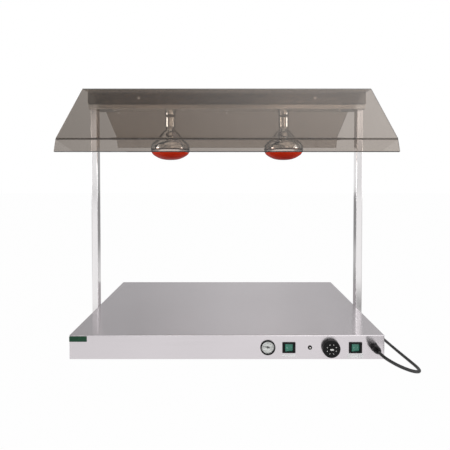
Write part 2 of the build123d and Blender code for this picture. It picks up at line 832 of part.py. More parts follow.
# The cap's section: x is the radius and y the distance from the panel, outwards negative.
gland_section = Plane(origin=(gland_x, front_y, gland_z))
gland_cap_back = gland_hex_height + gland_cap_gap
gland_tip_out = gland_cap_back + gland_cap_length
gland_cavity_out = gland_hex_height + gland_neck_length + gland_cap_gap
with BuildPart() as gland_cap:
    with BuildSketch(gland_section):
        with BuildLine():
            outline = Polyline(
                (gland_neck_radius + running_fit, -gland_cap_back),
                (gland_cap_radius, -gland_cap_back),
                (gland_cap_radius, -gland_cap_back - gland_cap_straight),
            )
            dome = TangentArc(outline @ 1, (gland_tip_radius, -gland_tip_out), tangent=(0, -1))
            Polyline(
                dome @ 1,
                (0, -gland_tip_out),
                (0, -gland_cavity_out),
                (gland_neck_radius + running_fit, -gland_cavity_out),
                outline @ 0,
            )
        make_face()
    revolve(axis=Axis(gland_section.origin, (0, 1, 0)))
    with BuildSketch(gland_section):
        for groove in range(gland_groove_count):
            groove_out = gland_cap_back + (groove + 1) * gland_groove_pitch
            with Locations((gland_cap_radius - gland_groove_depth / 2, -groove_out)):
                Rectangle(gland_groove_depth, gland_groove_width)
    revolve(axis=Axis(gland_section.origin, (0, 1, 0)), mode=Mode.SUBTRACT)
gland_cap.part.label = "gland_cap"
export_step(gland_cap.part, "parts/gland_cap.step")

# Posts: upright tubes bolted to the outside of the side skirts, closed below by a push-in plug.
post_bottom_z = post_floor_gap
bore_width = post_width - 2 * post_wall
bore_depth = post_depth - 2 * post_wall
bar_width = bore_depth - 2 * post_corner
block_width = bore_width - 2 * insert_fit
block_depth = bore_depth - 2 * insert_fit
for post_name, side in (("post_left", -1), ("post_right", 1)):
    with BuildPart() as post:
        with BuildSketch(Plane.XY.offset(post_bottom_z)):
            with Locations((side * post_x, 0)):
                RectangleRounded(post_width, post_depth, post_corner)
                RectangleRounded(bore_width, bore_depth, post_corner - post_wall, mode=Mode.SUBTRACT)
        extrude(amount=channel_z - post_bottom_z)
        with BuildSketch(right_skirt if side > 0 else left_skirt):
            with Locations(*[(0, z) for z in post_bolt_levels]):
                Circle(post_bolt_diameter / 2 + screw_clearance)
        extrude(amount=2 * post_wall, mode=Mode.SUBTRACT)
    post.part.label = post_name
    export_step(post.part, f"parts/{post_name}.step")

with BuildPart() as post_plugs:
    with BuildSketch(Plane.XY.offset(post_bottom_z)):
        with Locations((-post_x, 0), (post_x, 0)):
            RectangleRounded(post_width, post_depth, post_corner)
    extrude(amount=-post_plug_head)
    with BuildSketch(Plane.XY.offset(post_bottom_z)):
        with Locations((-post_x, 0), (post_x, 0)):
            Rectangle(block_width, block_depth)
    extrude(amount=post_plug_depth)
post_plugs.part.label = "post_plugs"
export_step(post_plugs.part, "parts/post_plugs.step")

# Post inserts: a tapped bar behind each post's inner wall, and a tapped block in its top end.
with BuildPart() as post_inserts:
    for skirt in (right_skirt, left_skirt):
        with BuildSketch(skirt.offset(post_wall)):
            with Locations((0, post_bolt_mid_z)):
                Rectangle(bar_width, insert_length)
            with Locations(*[(0, z) for z in post_bolt_levels]):
                Circle(post_bolt_diameter / 2 + running_fit, mode=Mode.SUBTRACT)
        extrude(amount=insert_thickness)
    with BuildSketch(Plane.XY.offset(channel_z)):
        with Locations((-post_x, 0), (post_x, 0)):
            Rectangle(block_width, block_depth)
            Circle(post_bolt_diameter / 2 + running_fit, mode=Mode.SUBTRACT)
    extrude(amount=-top_block_height)
post_inserts.part.label = "post_inserts"
export_step(post_inserts.part, "parts/post_inserts.step")

# Post bolts: two from inside the base into each bar, one down through the lamp channel into each block.
with BuildPart() as post_bolts:
    for skirt in (right_skirt, left_skirt):
        with BuildSketch(skirt.offset(-sheet)):
            with Locations(*[(0, z) for z in post_bolt_levels]):
                RegularPolygon(post_bolt_head / 2, 6, major_radius=False)
        extrude(amount=-post_bolt_head_height)
        with BuildSketch(skirt.offset(-sheet)):
            with Locations(*[(0, z) for z in post_bolt_levels]):
                Circle(post_bolt_diameter / 2)
        extrude(amount=sheet + post_bolt_grip)
    with BuildSketch(Plane.XY.offset(channel_z + beam_sheet)):
        with Locations((-post_x, 0), (post_x, 0)):
            RegularPolygon(post_bolt_head / 2, 6, major_radius=False)
    extrude(amount=post_bolt_head_height)
    with BuildSketch(Plane.XY.offset(channel_z + beam_sheet)):
        with Locations((-post_x, 0), (post_x, 0)):
            Circle(post_bolt_diameter / 2)
    extrude(amount=-top_screw_length)
post_bolts.part.label = "post_bolts"
export_step(post_bolts.part, "parts/post_bolts.step")

# Lamp channel: a folded tray open upwards that carries the lamp holders and stands on the posts.
cover_screw_z = cover_top_z - cover_drop_to_screw
canopy_screw_places = [
    (x, y)
    for x in (-(beam_half - canopy_screw_inset), 0, beam_half - canopy_screw_inset)
    for y in (-canopy_screw_spread / 2, canopy_screw_spread / 2)
]
with BuildPart() as lamp_channel:
    with BuildSketch(end_section.offset(-beam_half)):
        with Locations((0, channel_z + channel_height / 2)):
            Rectangle(channel_depth, channel_height)
        with Locations((0, channel_z + beam_sheet + channel_height / 2)):
            Rectangle(channel_depth - 2 * beam_sheet, channel_height, mode=Mode.SUBTRACT)
    extrude(amount=2 * beam_half)
    fillet(lamp_channel.edges().filter_by(Axis.X).group_by(Axis.Z)[0], radius=beam_sheet)
    with BuildSketch(Plane.XY.offset(channel_z)):
        with Locations((-lamp_x, 0), (lamp_x, 0)):
            Circle(nipple_radius + screw_clearance)
        with Locations((-post_x, 0), (post_x, 0)):
            Circle(post_bolt_diameter / 2 + screw_clearance)
        with Locations(*canopy_screw_places):
            Circle(canopy_screw_diameter / 2 + screw_clearance)
    extrude(amount=2 * beam_sheet, mode=Mode.SUBTRACT)
    with BuildSketch(Plane.XZ.offset(-channel_depth)):
        with Locations((-cover_screw_x, cover_screw_z), (cover_screw_x, cover_screw_z)):
            Circle(cover_screw_diameter / 2 + screw_clearance)
    extrude(amount=2 * channel_depth, mode=Mode.SUBTRACT)
lamp_channel.part.label = "lamp_channel"
export_step(lamp_channel.part, "parts/lamp_channel.step")

# Beam cover: a wider inverted tray over the channel, the seat of the roof canopy.
with BuildPart() as beam_cover:
    with BuildSketch(end_section.offset(-beam_half)):
        with Locations((0, cover_top_z - cover_skirt / 2)):
            Rectangle(cover_depth, cover_skirt)
        with Locations((0, cover_top_z - beam_sheet - cover_skirt / 2)):
            Rectangle(cover_depth - 2 * beam_sheet, cover_skirt, mode=Mode.SUBTRACT)
    extrude(amount=2 * beam_half)
    fillet(beam_cover.edges().filter_by(Axis.X).group_by(Axis.Z)[-1], radius=beam_sheet)
    with BuildSketch(Plane.XY.offset(cover_top_z)):
        with Locations(*canopy_screw_places):
            Circle(canopy_screw_diameter / 2 + screw_clearance)
    extrude(amount=-2 * beam_sheet, mode=Mode.SUBTRACT)
    with BuildSketch(Plane.XZ.offset(-cover_depth)):
        with Locations((-cover_screw_x, cover_screw_z), (cover_screw_x, cover_screw_z)):
            Circle(cover_screw_diameter / 2 + screw_clearance)
    extrude(amount=2 * cover_depth, mode=Mode.SUBTRACT)
beam_cover.part.label = "beam_cover"
export_step(beam_cover.part, "parts/beam_cover.step")

# Beam ends: flat plates of the beam's stepped outline that close both ends.
for end_name, side in (("beam_end_left", -1), ("beam_end_right", 1)):
    with BuildPart() as beam_end:
        with BuildSketch(end_section.offset(side * beam_half)):
            with Locations((0, cover_top_z - cover_skirt / 2)):
                Rectangle(cover_depth, cover_skirt)
            with Locations((0, channel_z + channel_height / 2)):
                Rectangle(channel_depth, channel_height)
        extrude(amount=side * beam_sheet)
        fillet(beam_end.edges().filter_by(Axis.X).group_by(Axis.Z)[-1], radius=2 * beam_sheet)
    beam_end.part.label = end_name
    export_step(beam_end.part, f"parts/{end_name}.step")

# Beam screws and spacers: they hold the cover's skirts out from the channel's walls.
cover_front = Plane(origin=(0, -cover_depth / 2, 0), x_dir=(1, 0, 0), z_dir=(0, -1, 0))
cover_back = Plane(origin=(0, cover_depth / 2, 0), x_dir=(-1, 0, 0), z_dir=(0, 1, 0))
spacer_length = cover_overhang - beam_sheet
with BuildPart() as beam_screws:
    for face in (cover_front, cover_back):
        with BuildSketch(face):
            with Locations((-cover_screw_x, cover_screw_z), (cover_screw_x, cover_screw_z)):
                Circle(cover_screw_head / 2)
        extrude(amount=cover_screw_head_height)
        with BuildSketch(face):
            with Locations((-cover_screw_x, cover_screw_z), (cover_screw_x, cover_screw_z)):
                Circle(cover_screw_diameter / 2)
        extrude(amount=-(2 * beam_sheet + spacer_length + cover_screw_tail))
    crowns = beam_screws.faces().filter_by(Axis.Y).group_by(Axis.Y)
    fillet((crowns[0] + crowns[-1]).edges(), radius=cover_screw_round)
    for face in (cover_front, cover_back):
        with BuildSketch(face.offset(cover_screw_head_height)):
            with Locations((-cover_screw_x, cover_screw_z), (cover_screw_x, cover_screw_z)):
                Rectangle(cross_length, cross_width)
                Rectangle(cross_width, cross_length)
        extrude(amount=-cross_depth, mode=Mode.SUBTRACT)
beam_screws.part.label = "beam_screws"
export_step(beam_screws.part, "parts/beam_screws.step")

with BuildPart() as beam_spacers:
    for face in (cover_front, cover_back):
        with BuildSketch(face.offset(-beam_sheet)):
            with Locations((-cover_screw_x, cover_screw_z), (cover_screw_x, cover_screw_z)):
                Circle(spacer_radius)
                Circle(cover_screw_diameter / 2 + running_fit, mode=Mode.SUBTRACT)
        extrude(amount=-spacer_length)
beam_spacers.part.label = "beam_spacers"
export_step(beam_spacers.part, "parts/beam_spacers.step")

# Roof canopy: one smoked sheet heat-bent into a flat roof, two sloping wings and two lips.
wing_end = roof_half_depth + wing_reach
canopy_points = [
    (-wing_end - lip_lean, canopy_top_z - front_wing_drop - front_lip),
    (-wing_end, canopy_top_z - front_wing_drop),
    (-roof_half_depth, canopy_top_z),
    (roof_half_depth, canopy_top_z),
    (wing_end, canopy_top_z - rear_wing_drop),
    (wing_end + lip_lean, canopy_top_z - rear_wing_drop - rear_lip),
]
with BuildPart() as canopy:
    with BuildSketch(end_section.offset(-canopy_half)):
        with BuildLine():
            upper_face = FilletPolyline(*canopy_points, radius=canopy_bend + canopy_thickness)
            offset(upper_face, amount=canopy_thickness, side=Side.RIGHT)
        make_face()
    extrude(amount=2 * canopy_half)
    with BuildSketch(Plane.XY.offset(canopy_top_z)):
        with Locations(*canopy_screw_places):
            Circle(canopy_screw_diameter / 2 + screw_clearance)
    extrude(amount=-2 * canopy_thickness, mode=Mode.SUBTRACT)
canopy.part.label = "canopy"
export_step(canopy.part, "parts/canopy.step")

# Canopy screws, washers and nuts: from the roof sheet down through the beam to dome nuts under the channel.
washer_top_z = canopy_top_z + canopy_washer_height
with BuildPart() as canopy_washers:
    with BuildSketch(Plane.XY.offset(canopy_top_z)):
        with Locations(*canopy_screw_places):
            Circle(canopy_washer / 2)
            Circle(canopy_screw_diameter / 2 + running_fit, mode=Mode.SUBTRACT)
    extrude(amount=canopy_washer_height)
canopy_washers.part.label = "canopy_washers"
export_step(canopy_washers.part, "parts/canopy_washers.step")

with BuildPart() as canopy_screws:
    with BuildSketch(Plane.XY.offset(washer_top_z)):
        with Locations(*canopy_screw_places):
            Circle(canopy_screw_head / 2)
    extrude(amount=canopy_screw_crown)
    canopy_screw_tops = canopy_screws.faces().sort_by(Axis.Z)[-len(canopy_screw_places) :]
    fillet(canopy_screw_tops.edges(), radius=canopy_screw_round)
    with BuildSketch(Plane.XY.offset(washer_top_z)):
        with Locations(*canopy_screw_places):
            Circle(canopy_screw_diameter / 2)
    extrude(amount=channel_z - canopy_nut_height - washer_top_z)
    with BuildSketch(Plane.XY.offset(washer_top_z + canopy_screw_crown)):
        with Locations(*canopy_screw_places):
            Rectangle(cross_length, cross_width)
            Rectangle(cross_width, cross_length)
    extrude(amount=-cross_depth, mode=Mode.SUBTRACT)
canopy_screws.part.label = "canopy_screws"
export_step(canopy_screws.part, "parts/canopy_screws.step")

with BuildPart() as canopy_nuts:
    with BuildSketch(Plane.XY.offset(channel_z)):
        with Locations(*canopy_screw_places):
            RegularPolygon(canopy_nut / 2, 6, major_radius=False)
    extrude(amount=-canopy_nut_height)
    with BuildSketch(Plane.XY.offset(channel_z - canopy_nut_height)):
        with Locations(*canopy_screw_places):
            Circle(canopy_nut / 2 - canopy_nut_step)
    extrude(amount=-canopy_nut_dome)
    canopy_nut_ends = canopy_nuts.faces().sort_by(Axis.Z)[: len(canopy_screw_places)]
    fillet(canopy_nut_ends.edges(), radius=canopy_nut_round)
    with BuildSketch(Plane.XY.offset(channel_z)):
        with Locations(*canopy_screw_places):
            Circle(canopy_screw_diameter / 2 + running_fit)
    extrude(amount=-canopy_nut_height - running_fit, mode=Mode.SUBTRACT)
canopy_nuts.part.label = "canopy_nuts"
export_step(canopy_nuts.part, "parts/canopy_nuts.step")

# Lamp holders and lamps, both sides alike: metal cup and sleeve, insulating core, screwed-in reflector lamp.
cup_bottom_z = channel_z - holder_cup_height
sleeve_top_z = cup_bottom_z - holder_neck_height
socket_radius = lamp_cap_radius + lamp_fit
core_radius = socket_radius + holder_core_wall
sleeve_bore = core_radius + running_fit
holder_sleeve_radius = sleeve_bore + holder_wall
lamp_neck_radius = lamp_cap_radius - lamp_cap_wall - lamp_neck_fit
core_neck = holder_cup_radius - holder_wall - holder_neck_inset
core_bottom_z = sleeve_z + lamp_cap_rise
cap_bottom_z = sleeve_z + lamp_cap_rise
cap_top_z = cap_bottom_z + lamp_cap_length
button_top_z = cap_top_z + lamp_button_height
nipple_low_z = channel_z - nipple_thread
equator_z = sleeve_z - lamp_shoulder_drop
crown_z = equator_z - lamp_crown
neck_top_z = cap_top_z - 2 * lamp_button_height
slant_wall = lamp_glass_wall * math.sqrt(0.5)
for lamp_name, side in (("left", -1), ("right", 1)):
    lamp_section = Plane(origin=(side * lamp_x, 0, 0), x_dir=(1, 0, 0), z_dir=(0, -1, 0))
    lamp_axis = Axis(lamp_section.origin, (0, 0, 1))

    with BuildPart() as holder_shell:
        with BuildSketch(lamp_section):
            with BuildLine():
                Polyline(
                    (nipple_radius + screw_clearance, channel_z),
                    (holder_cup_radius, channel_z),
                    (holder_cup_radius, cup_bottom_z),
                    (holder_cup_radius - holder_wall, cup_bottom_z),
                    (holder_cup_radius - holder_wall, channel_z - holder_wall),
                    (nipple_radius + screw_clearance, channel_z - holder_wall),
                    close=True,
                )
            make_face()
            with BuildLine():
                Polyline(
                    (core_neck + running_fit, sleeve_top_z),
                    (holder_sleeve_radius - holder_wall, sleeve_top_z),
                    (holder_sleeve_radius, sleeve_top_z - holder_wall),
                    (holder_sleeve_radius, sleeve_z),
                    (sleeve_bore, sleeve_z),
                    (sleeve_bore, sleeve_top_z - holder_wall),
                    (core_neck + running_fit, sleeve_top_z - holder_wall),
                    close=True,
                )
            make_face()
        revolve(axis=lamp_axis)
    holder_shell.part.label = f"holder_shell_{lamp_name}"
    export_step(holder_shell.part, f"parts/holder_shell_{lamp_name}.step")

    with BuildPart() as holder_core:
        with BuildSketch(lamp_section):
            with BuildLine():
                Polyline(
                    (nipple_radius + running_fit, channel_z - holder_wall),
                    (core_neck, channel_z - holder_wall),
                    (core_neck, sleeve_top_z - holder_wall),
                    (core_radius, sleeve_top_z - holder_wall),
                    (core_radius, core_bottom_z),
                    (socket_radius, core_bottom_z),
                    (socket_radius, button_top_z + lamp_contact_gap),
                    (0, button_top_z + lamp_contact_gap),
                    (0, nipple_low_z),
                    (nipple_radius + running_fit, nipple_low_z),
                    close=True,
                )
            make_face()
        revolve(axis=lamp_axis)
    holder_core.part.label = f"holder_core_{lamp_name}"
    export_step(holder_core.part, f"parts/holder_core_{lamp_name}.step")

    with BuildPart() as lamp_cap:
        with BuildSketch(lamp_section):
            with BuildLine():
                Polyline(
                    (0, button_top_z),
                    (lamp_button_radius, button_top_z),
                    (lamp_button_radius, cap_top_z),
                    (lamp_cap_radius - lamp_button_height, cap_top_z),
                    (lamp_cap_radius, cap_top_z - lamp_button_height),
                    (lamp_cap_radius, cap_bottom_z),
                    (lamp_cap_radius - lamp_cap_wall, cap_bottom_z),
                    (lamp_cap_radius - lamp_cap_wall, neck_top_z),
                    (0, neck_top_z),
                    close=True,
                )
            make_face()
        revolve(axis=lamp_axis)
    lamp_cap.part.label = f"lamp_cap_{lamp_name}"
    export_step(lamp_cap.part, f"parts/lamp_cap_{lamp_name}.step")

    # The glass: a straight neck, a flank that swells to the widest ring, and a shallow red-faced crown.
    with BuildPart() as lamp_glass:
        with BuildSketch(lamp_section):
            with BuildLine():
                outer_neck = Line((lamp_neck_radius, neck_top_z), (lamp_neck_radius, sleeve_z))
                outer_flank = Spline(
                    outer_neck @ 1,
                    *[(radius, sleeve_z - drop) for radius, drop in lamp_flank],
                    (lamp_radius, equator_z),
                    tangents=((0, -1), (0, -1)),
                )
                outer_crown = Spline(
                    outer_flank @ 1,
                    (lamp_radius - lamp_edge_inset, equator_z - lamp_edge_drop),
                    (0, crown_z),
                    tangents=((0, -1), (-1, 0)),
                )
                middle = Line(outer_crown @ 1, (0, crown_z + lamp_glass_wall))
                inner_crown = Spline(
                    middle @ 1,
                    (
                        lamp_radius - lamp_edge_inset - slant_wall,
                        equator_z - lamp_edge_drop + slant_wall,
                    ),
                    (lamp_radius - lamp_glass_wall, equator_z),
                    tangents=((1, 0), (0, 1)),
                )
                inner_flank = Spline(
                    inner_crown @ 1,
                    *[
                        (radius - slant_wall, sleeve_z - drop - slant_wall)
                        for radius, drop in reversed(lamp_flank)
                    ],
                    (lamp_neck_radius - lamp_glass_wall, sleeve_z),
                    tangents=((0, 1), (0, 1)),
                )
                inner_neck = Line(inner_flank @ 1, (lamp_neck_radius - lamp_glass_wall, neck_top_z))
                Line(inner_neck @ 1, outer_neck @ 0)
            make_face()
        revolve(axis=lamp_axis)
    lamp_glass.part.label = f"lamp_glass_{lamp_name}"
    export_step(lamp_glass.part, f"parts/lamp_glass_{lamp_name}.step")

# Holder nipples: hollow threaded stems with a hexagon head that hang the holders from the channel.
with BuildPart() as holder_nipples:
    with BuildSketch(Plane.XY.offset(nipple_low_z)):
        with Locations((-lamp_x, 0), (lamp_x, 0)):
            Circle(nipple_radius)
    extrude(amount=nipple_thread + beam_sheet)
    with BuildSketch(Plane.XY.offset(channel_z + beam_sheet)):
        with Locations((-lamp_x, 0), (lamp_x, 0)):
            RegularPolygon(nipple_hex / 2, 6, major_radius=False)
    extrude(amount=nipple_hex_height)
    with BuildSketch(Plane.XY.offset(nipple_low_z)):
        with Locations((-lamp_x, 0), (lamp_x, 0)):
            Circle(nipple_bore)
    extrude(amount=nipple_thread + beam_sheet + nipple_hex_height, mode=Mode.SUBTRACT)
holder_nipples.part.label = "holder_nipples"
export_step(holder_nipples.part, "parts/holder_nipples.step")

# Supply cord: out of the gland, down to the floor in a wide turn, back along the right skirt.
cord_radius = cord_diameter / 2
cord_points = [
    Vector(gland_x, front_y - gland_tip_out, gland_z),
    Vector(gland_x, -322.5, gland_z),
    Vector(399, -345, 37),
    Vector(421, -364, 29),
    Vector(450, -366, 18.5),
    Vector(475, -350.5, 9.5),
    Vector(486, -323, 5.4),
    Vector(482, -266, 4.5),
    Vector(475, -185, 4.3),
    Vector(469, -95, 4.3),
    Vector(466, 5, 4.3),
    Vector(465.5, 105, 4.3),
    Vector(467, 200, 4.3),
    Vector(469, 290, 4.4),
    Vector(466, 358, 4.8),
    Vector(446, 412, coil_z),
    Vector(400, coil_y + coil_outer, coil_z),
    Vector(coil_x + coil_lead, coil_y + coil_outer, coil_z),
]
cord_radii = []
for before, corner, after in zip(cord_points, cord_points[1:], cord_points[2:]):
    arriving = corner - before
    leaving = after - corner
    turn = math.radians(arriving.get_angle(leaving))
    cord_radii.append(bend_share * min(arriving.length, leaving.length) / math.tan(turn / 2))
print("cord radii", [round(radius) for radius in cord_radii])
with BuildPart() as supply_cord:
    with BuildLine() as cord_path:
        FilletPolyline(*cord_points, radius=cord_radii)
    with BuildSketch(Plane(origin=cord_path.line @ 0, z_dir=cord_path.line % 0)):
        Circle(cord_radius)
    sweep(path=cord_path.wires()[0])
supply_cord.part.label = "supply_cord"
export_step(supply_cord.part, "parts/supply_cord.step")
cord_section = math.pi * cord_radius**2
free_length = cord_path.wires()[0].length
print("cord volume over section times length", supply_cord.part.volume / (cord_section * free_length))

# Cord coil: loops that spiral in on the floor, climb a layer and spiral out again, in half turns.
half_turns = 2 * coil_half_turns + 1
coil_stations = []
for number in range(half_turns + 1):
    lower = number <= coil_half_turns
    steps_out = coil_half_turns - number if lower else number - coil_half_turns - 1
    reach = coil_inner + steps_out * coil_step
    far_side = 1 if number % 2 == 0 else -1
    height = coil_z if lower else coil_z + coil_layer
    coil_stations.append((Vector(coil_x, coil_y + far_side * reach, height), Vector(-far_side, 0, 0)))
with BuildPart() as cord_coil:
    with BuildLine() as coil_path:
        Line(cord_points[-1], coil_stations[0][0])
        for (start, heading), (end, _) in zip(coil_stations, coil_stations[1:]):
            middle = (start + end) / 2 + heading * ((end - start).length / 2)
            first_quarter = TangentArc(start, middle, tangent=heading)
            TangentArc(middle, end, tangent=first_quarter % 1)
        coil_end = coil_stations[-1][0] + coil_stations[-1][1] * coil_tail
        Line(coil_stations[-1][0], coil_end)
    with BuildSketch(Plane(origin=cord_points[-1], z_dir=(-1, 0, 0))):
        Circle(cord_radius)
    sweep(path=coil_path.wires()[0])
cord_coil.part.label = "cord_coil"
export_step(cord_coil.part, "parts/cord_coil.step")
coil_wire = coil_path.wires()[0]
coil_places = [coil_wire.position_at(i / coil_samples) for i in range(coil_samples + 1)]
apart = round(3 * cord_diameter * coil_samples / coil_wire.length)
least = min((a - b).length for i, a in enumerate(coil_places) for b in coil_places[i + apart :])
print("coil volume over section times length", cord_coil.part.volume / (cord_section * coil_wire.length))
print("coil least gap to itself", least - cord_diameter)
print("cord length", free_length + coil_wire.length)

# Cord tie: a flat band closed round the coil's bundle on its left side.
bundle_inner = coil_inner + coil_step / 2 - cord_radius - tie_slack
bundle_outer = coil_inner + (coil_half_turns - 0.5) * coil_step + cord_radius + tie_slack
bundle_low = coil_z - cord_radius - tie_room
bundle_high = coil_z + coil_layer + cord_radius + tie_room
with BuildPart() as cord_tie:
    with BuildSketch(Plane.XZ.offset(-coil_y - tie_width / 2)):
        with Locations((coil_x - (bundle_inner + bundle_outer) / 2, (bundle_low + bundle_high) / 2)):
            RectangleRounded(
                bundle_outer - bundle_inner + 2 * tie_sheet,
                bundle_high - bundle_low + 2 * tie_sheet,
                tie_corner + tie_sheet,
            )
            RectangleRounded(
                bundle_outer - bundle_inner, bundle_high - bundle_low, tie_corner, mode=Mode.SUBTRACT
            )
    extrude(amount=tie_width)
cord_tie.part.label = "cord_tie"
export_step(cord_tie.part, "parts/cord_tie.step")

# Mains plug: a right-angled moulded plug lying on its back, pins up, the cord coming in at its side.
plug_x = coil_end.X + plug_sleeve_length + plug_radius - plug_sleeve_sink
plug_y = coil_end.Y
plug_floor = coil_end.Z - plug_back
with BuildPart() as plug_body:
    with BuildSketch(Plane.XY.offset(plug_floor)):
        with Locations((plug_x, plug_y)):
            Circle(plug_radius)
    extrude(amount=plug_height)
    fillet(plug_body.edges().group_by(Axis.Z)[0], radius=plug_round)
    with BuildSketch(Plane.XY.offset(plug_floor + plug_height)):
        with Locations((plug_x, plug_y)):
            Circle(plug_face_radius)
            with GridLocations(2 * plug_face_radius, 0, 2, 1):
                Rectangle(plug_groove, plug_groove, mode=Mode.SUBTRACT)
    extrude(amount=plug_face_height)
    with BuildSketch(Plane(origin=coil_end, z_dir=(1, 0, 0))):
        Circle(plug_sleeve_small)
    with BuildSketch(Plane(origin=coil_end, z_dir=(1, 0, 0)).offset(plug_sleeve_length)):
        Circle(plug_sleeve_large)
    loft()
plug_body.part.label = "plug_body"
export_step(plug_body.part, "parts/plug_body.step")

with BuildPart() as plug_pins:
    with BuildSketch(Plane.XY.offset(plug_floor + plug_height + plug_face_height)):
        with Locations((plug_x, plug_y)):
            with GridLocations(0, plug_pin_pitch, 1, 2):
                Circle(plug_pin_diameter / 2)
    extrude(amount=plug_pin_length)
    fillet(plug_pins.edges().group_by(Axis.Z)[-1], radius=plug_pin_round)
plug_pins.part.label = "plug_pins"
export_step(plug_pins.part, "parts/plug_pins.step")
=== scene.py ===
"""Food heat lamp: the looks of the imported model, in metres and in the model's own frame."""

import math

import bmesh
import bpy
from mathutils import Matrix, Vector


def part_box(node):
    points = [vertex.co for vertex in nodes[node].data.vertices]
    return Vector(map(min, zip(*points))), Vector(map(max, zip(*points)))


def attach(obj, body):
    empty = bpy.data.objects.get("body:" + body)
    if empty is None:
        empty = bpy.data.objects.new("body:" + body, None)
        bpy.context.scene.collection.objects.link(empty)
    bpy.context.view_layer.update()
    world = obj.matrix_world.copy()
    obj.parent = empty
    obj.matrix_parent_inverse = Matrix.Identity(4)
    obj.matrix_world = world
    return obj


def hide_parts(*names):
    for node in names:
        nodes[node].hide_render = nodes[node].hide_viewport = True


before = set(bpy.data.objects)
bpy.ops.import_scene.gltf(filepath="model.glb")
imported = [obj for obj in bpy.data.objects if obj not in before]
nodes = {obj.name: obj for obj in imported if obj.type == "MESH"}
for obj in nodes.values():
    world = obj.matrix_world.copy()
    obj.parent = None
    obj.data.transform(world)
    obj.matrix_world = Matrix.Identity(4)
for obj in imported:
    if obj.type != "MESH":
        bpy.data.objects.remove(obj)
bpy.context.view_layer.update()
scene = bpy.context.scene
scene.view_settings.view_transform = "Standard"

# Camera: a short lens a good metre in front of the panel and a little above
# half height, almost level, with the picture's frame shifted down.
camera_data = bpy.data.cameras.new("camera")
camera_data.lens = 33.3
camera_data.sensor_width = 36.0
camera_data.shift_x = -0.005
camera_data.shift_y = -0.08
camera = bpy.data.objects.new("camera", camera_data)
camera.location = (0.001, -1.366, 0.4823)
camera.rotation_euler = (math.radians(88.774), 0, 0)
scene.collection.objects.link(camera)
scene.camera = camera


# Studio light: a dim room that is brighter to the right, with soft glows above
# and in front and a narrow bright one at either side. Camera rays see it white,
# and part of that white also shows behind the object in metal and in the roof.
def add(tree, kind, **settings):
    node = tree.nodes.new(kind)
    for name, value in settings.items():
        setattr(node, name, value)
    return node


def spread(tree, source, span, result, shape="LINEAR"):
    node = add(tree, "ShaderNodeMapRange", interpolation_type=shape)
    node.inputs["From Min"].default_value = span[0]
    node.inputs["From Max"].default_value = span[1]
    node.inputs["To Min"].default_value = result[0]
    node.inputs["To Max"].default_value = result[1]
    tree.links.new(source, node.inputs["Value"])
    return node.outputs["Result"]


def combine(tree, operation, first, second):
    node = add(tree, "ShaderNodeMath", operation=operation)
    for socket, source in zip(node.inputs, (first, second)):
        if isinstance(source, float):
            socket.default_value = source
        else:
            tree.links.new(source, socket)
    return node.outputs[0]


def along(tree, source, direction):
    node = add(tree, "ShaderNodeVectorMath", operation="DOT_PRODUCT")
    node.inputs[1].default_value = direction
    tree.links.new(source, node.inputs[0])
    return node.outputs["Value"]


def mix_shaders(tree, share, first, second):
    node = add(tree, "ShaderNodeMixShader")
    for socket, source in zip(node.inputs, (share, first, second)):
        tree.links.new(source, socket)
    return node.outputs[0]


to_right = (1, 0, 0)
to_back = (0, 1, 0)
to_top = (0, 0, 1)
world = bpy.data.worlds.new("studio")
world.use_nodes = True
scene.world = world
sky = world.node_tree
sky.nodes.clear()
sky_rays = add(sky, "ShaderNodeLightPath").outputs
sky_direction = add(sky, "ShaderNodeTexCoord").outputs["Generated"]
sideways = along(sky, sky_direction, to_right)
room = spread(sky, sideways, (-0.4, 0.4), (0.06, 0.52))
for glow_axis, glow_edge, glow_full, glow_level in (
    ((0.4, 0.15, 0.90), 0.80, 1.0, 0.95),
    ((0.5, -0.866, 0.0), 0.45, 1.0, 0.45),
    ((0.0, -0.55, 0.83), 0.82, 0.97, 1.20),
    ((0.0, -0.98, 0.20), 0.92, 1.0, 0.45),
    ((-0.96, -0.28, 0.03), 0.975, 0.99, 8.0),
    ((0.96, -0.28, 0.03), 0.975, 0.99, 5.0),
):
    facing = along(sky, sky_direction, glow_axis)
    glow = spread(sky, facing, (glow_edge, glow_full), (0, glow_level), "SMOOTHSTEP")
    room = combine(sky, "ADD", room, glow)
room_light = add(sky, "ShaderNodeBackground")
sky.links.new(room, room_light.inputs["Strength"])
white_sky = add(sky, "ShaderNodeBackground")
white_sky.inputs["Color"].default_value = (1, 1, 1, 1)
white_sky.inputs["Strength"].default_value = 1.0

rising = spread(sky, along(sky, sky_direction, to_top), (0.10, 0.22), (0, 1))
high_left = spread(sky, sideways, (-0.2, 0.0), (0.44, 0.61))
high_right = spread(sky, sideways, (0.10, 0.30), (0.61, 0.34))
high_white = combine(sky, "MULTIPLY", rising, combine(sky, "MINIMUM", high_left, high_right))
low_white = spread(sky, sideways, (-0.3, 0.3), (0.9, 0.0))
low_white = combine(sky, "MULTIPLY", combine(sky, "SUBTRACT", 1.0, rising), low_white)
mirrored = combine(sky, "ADD", high_white, low_white)
reflected = combine(sky, "SUBTRACT", sky_rays["Is Glossy Ray"], sky_rays["Is Transmission Ray"])
reflected = combine(sky, "MAXIMUM", reflected, 0.0)
seen_through = spread(sky, sideways, (0.0, 0.35), (0.50, 0.60))
in_metal = combine(sky, "MULTIPLY", reflected, mirrored)
in_roof = combine(sky, "MULTIPLY", sky_rays["Is Transmission Ray"], seen_through)
behind = spread(sky, along(sky, sky_direction, to_back), (0.2, 0.5), (0, 1))
white_share = combine(sky, "MULTIPLY", combine(sky, "ADD", in_metal, in_roof), behind)
white_share = combine(sky, "MAXIMUM", sky_rays["Is Camera Ray"], white_share)
sky_mix = mix_shaders(sky, white_share, room_light.outputs[0], white_sky.outputs[0])
sky.links.new(sky_mix, add(sky, "ShaderNodeOutputWorld").inputs["Surface"])

